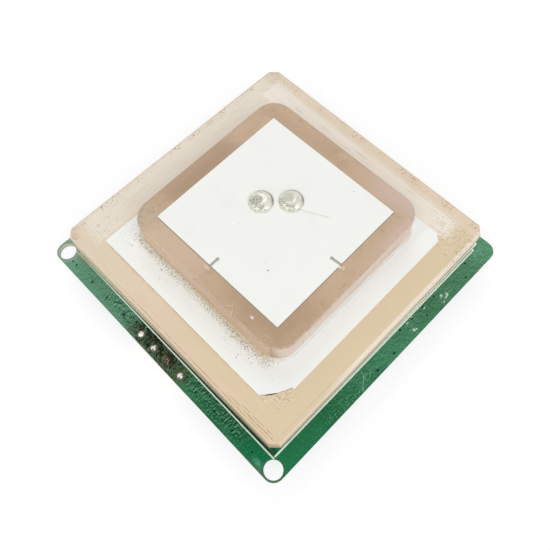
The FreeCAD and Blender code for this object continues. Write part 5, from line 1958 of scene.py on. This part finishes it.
@dataclass
class Studio:
    """A plain pale floor, soft light, and the camera at the photograph's place."""

    azimuth: float = 47.141
    elevation: float = 67.157
    roll: float = -2.069
    distance: float = 73.71
    target: Solid = (2.297, -2.694, 4.2)
    sensor: float = 36.0
    lens: float = 36.79
    shift: Point = (0.00574, 0.00018)
    floor_radius: float = 5.0
    floor_grey: float = 0.36
    floor_glow: float = 0.68
    sky: Sequence[tuple[float, float]] = (
        (0.0, 0.62), (0.47, 0.70), (0.492, 0.85), (0.56, 0.83), (0.65, 0.55), (0.85, 0.52), (0.93, 0.42), (1.0, 0.20))
    lamps: Sequence[Softbox] = (
        Softbox("softbox_front", (0.09, -0.36, 0.46), 0.34, 2.65),
        Softbox("softbox_right", (0.36, -0.04, 0.46), 0.34, 2.65),
        Softbox("softbox_back_left", (-0.30, 0.22, 0.46), 0.30, 2.0))

    def light(self) -> None:
        """Sets the sky and hangs the lamps."""
        bpy.context.scene.world = bpy.data.worlds.new("studio_sky")
        wires = Wires(bpy.context.scene.world)
        direction = wires.node("ShaderNodeTexCoord").outputs["Generated"]
        upward = wires.node("ShaderNodeSeparateXYZ", {0: direction}).outputs[2]
        height = wires.node("ShaderNodeMapRange", {"Value": upward, "From Min": -1.0}).outputs[0]
        shades = wires.node("ShaderNodeValToRGB", {0: height})
        fill(shades.color_ramp, [(place, (level, level, level, 1.0)) for place, level in self.sky])
        sky = wires.node("ShaderNodeBackground", {"Color": shades.outputs[0]}).outputs[0]
        wires.node("ShaderNodeOutputWorld", {"Surface": sky})
        for lamp in self.lamps:
            lamp.hang()

    def floor(self) -> None:
        """Lays the floor. It shines a little, keeps the shadow, and is clear from below."""
        Workpiece.clear()
        bpy.ops.mesh.primitive_circle_add(vertices=96, radius=self.floor_radius, fill_type="NGON")
        ground = bpy.context.object
        ground.name = "floor"
        material = bpy.data.materials.new("pale_floor")
        wires = Wires(material)
        grey = (self.floor_grey, self.floor_grey, self.floor_grey, 1.0)
        matt = wires.node("ShaderNodeBsdfDiffuse", {"Color": grey}).outputs[0]
        glow = wires.node("ShaderNodeEmission", {"Strength": self.floor_glow}).outputs[0]
        both = wires.node("ShaderNodeAddShader", {0: matt, 1: glow}).outputs[0]
        clear = wires.node("ShaderNodeBsdfTransparent").outputs[0]
        below = wires.node("ShaderNodeNewGeometry").outputs["Backfacing"]
        chosen = wires.node("ShaderNodeMixShader", {0: below, 1: both, 2: clear}).outputs[0]
        wires.node("ShaderNodeOutputMaterial", {"Surface": chosen})
        ground.data.materials.append(material)
        ground.visible_diffuse = False

    def camera(self) -> None:
        """Sets up the camera and makes it the scene's."""
        around, up = math.radians(self.azimuth), math.radians(self.elevation)
        back = Vector((math.sin(around) * math.cos(up), -math.cos(around) * math.cos(up), math.sin(up)))
        right = Vector((math.cos(around), math.sin(around), 0.0))
        over = back.cross(right)
        tilt = math.radians(self.roll)
        side = right * math.cos(tilt) + over * math.sin(tilt)
        top = over * math.cos(tilt) - right * math.sin(tilt)
        view = bpy.data.cameras.new("camera")
        view.sensor_width = self.sensor
        view.lens = self.lens
        view.shift_x, view.shift_y = self.shift
        view.clip_start = 0.001
        view.clip_end = 10.0
        holder = added("camera", view)
        place = Matrix((side, top, back)).transposed().to_4x4()
        place.translation = (Vector(self.target) + back * self.distance) * MM
        holder.matrix_world = place
        bpy.context.scene.camera = holder
        bpy.context.scene.view_settings.view_transform = "Standard"


def main() -> None:
    """Builds the studio and every piece, in order."""
    studio = Studio()
    studio.camera()
    studio.light()
    studio.floor()
    palette = Palette()
    palette.dress_nodes()
    holes = PlatedHoles(palette)
    for assembly in (
            LowerAntenna(palette), UpperAntenna(palette), ContactRow(palette), Dirt(palette), holes,
            WrinkledLacquer(palette, dimples=holes.places), UndersideDetails(palette)):
        log.info("building %s", type(assembly).__name__)
        assembly.build()
    Workpiece.clear()


if __name__ == "__main__":
    main()
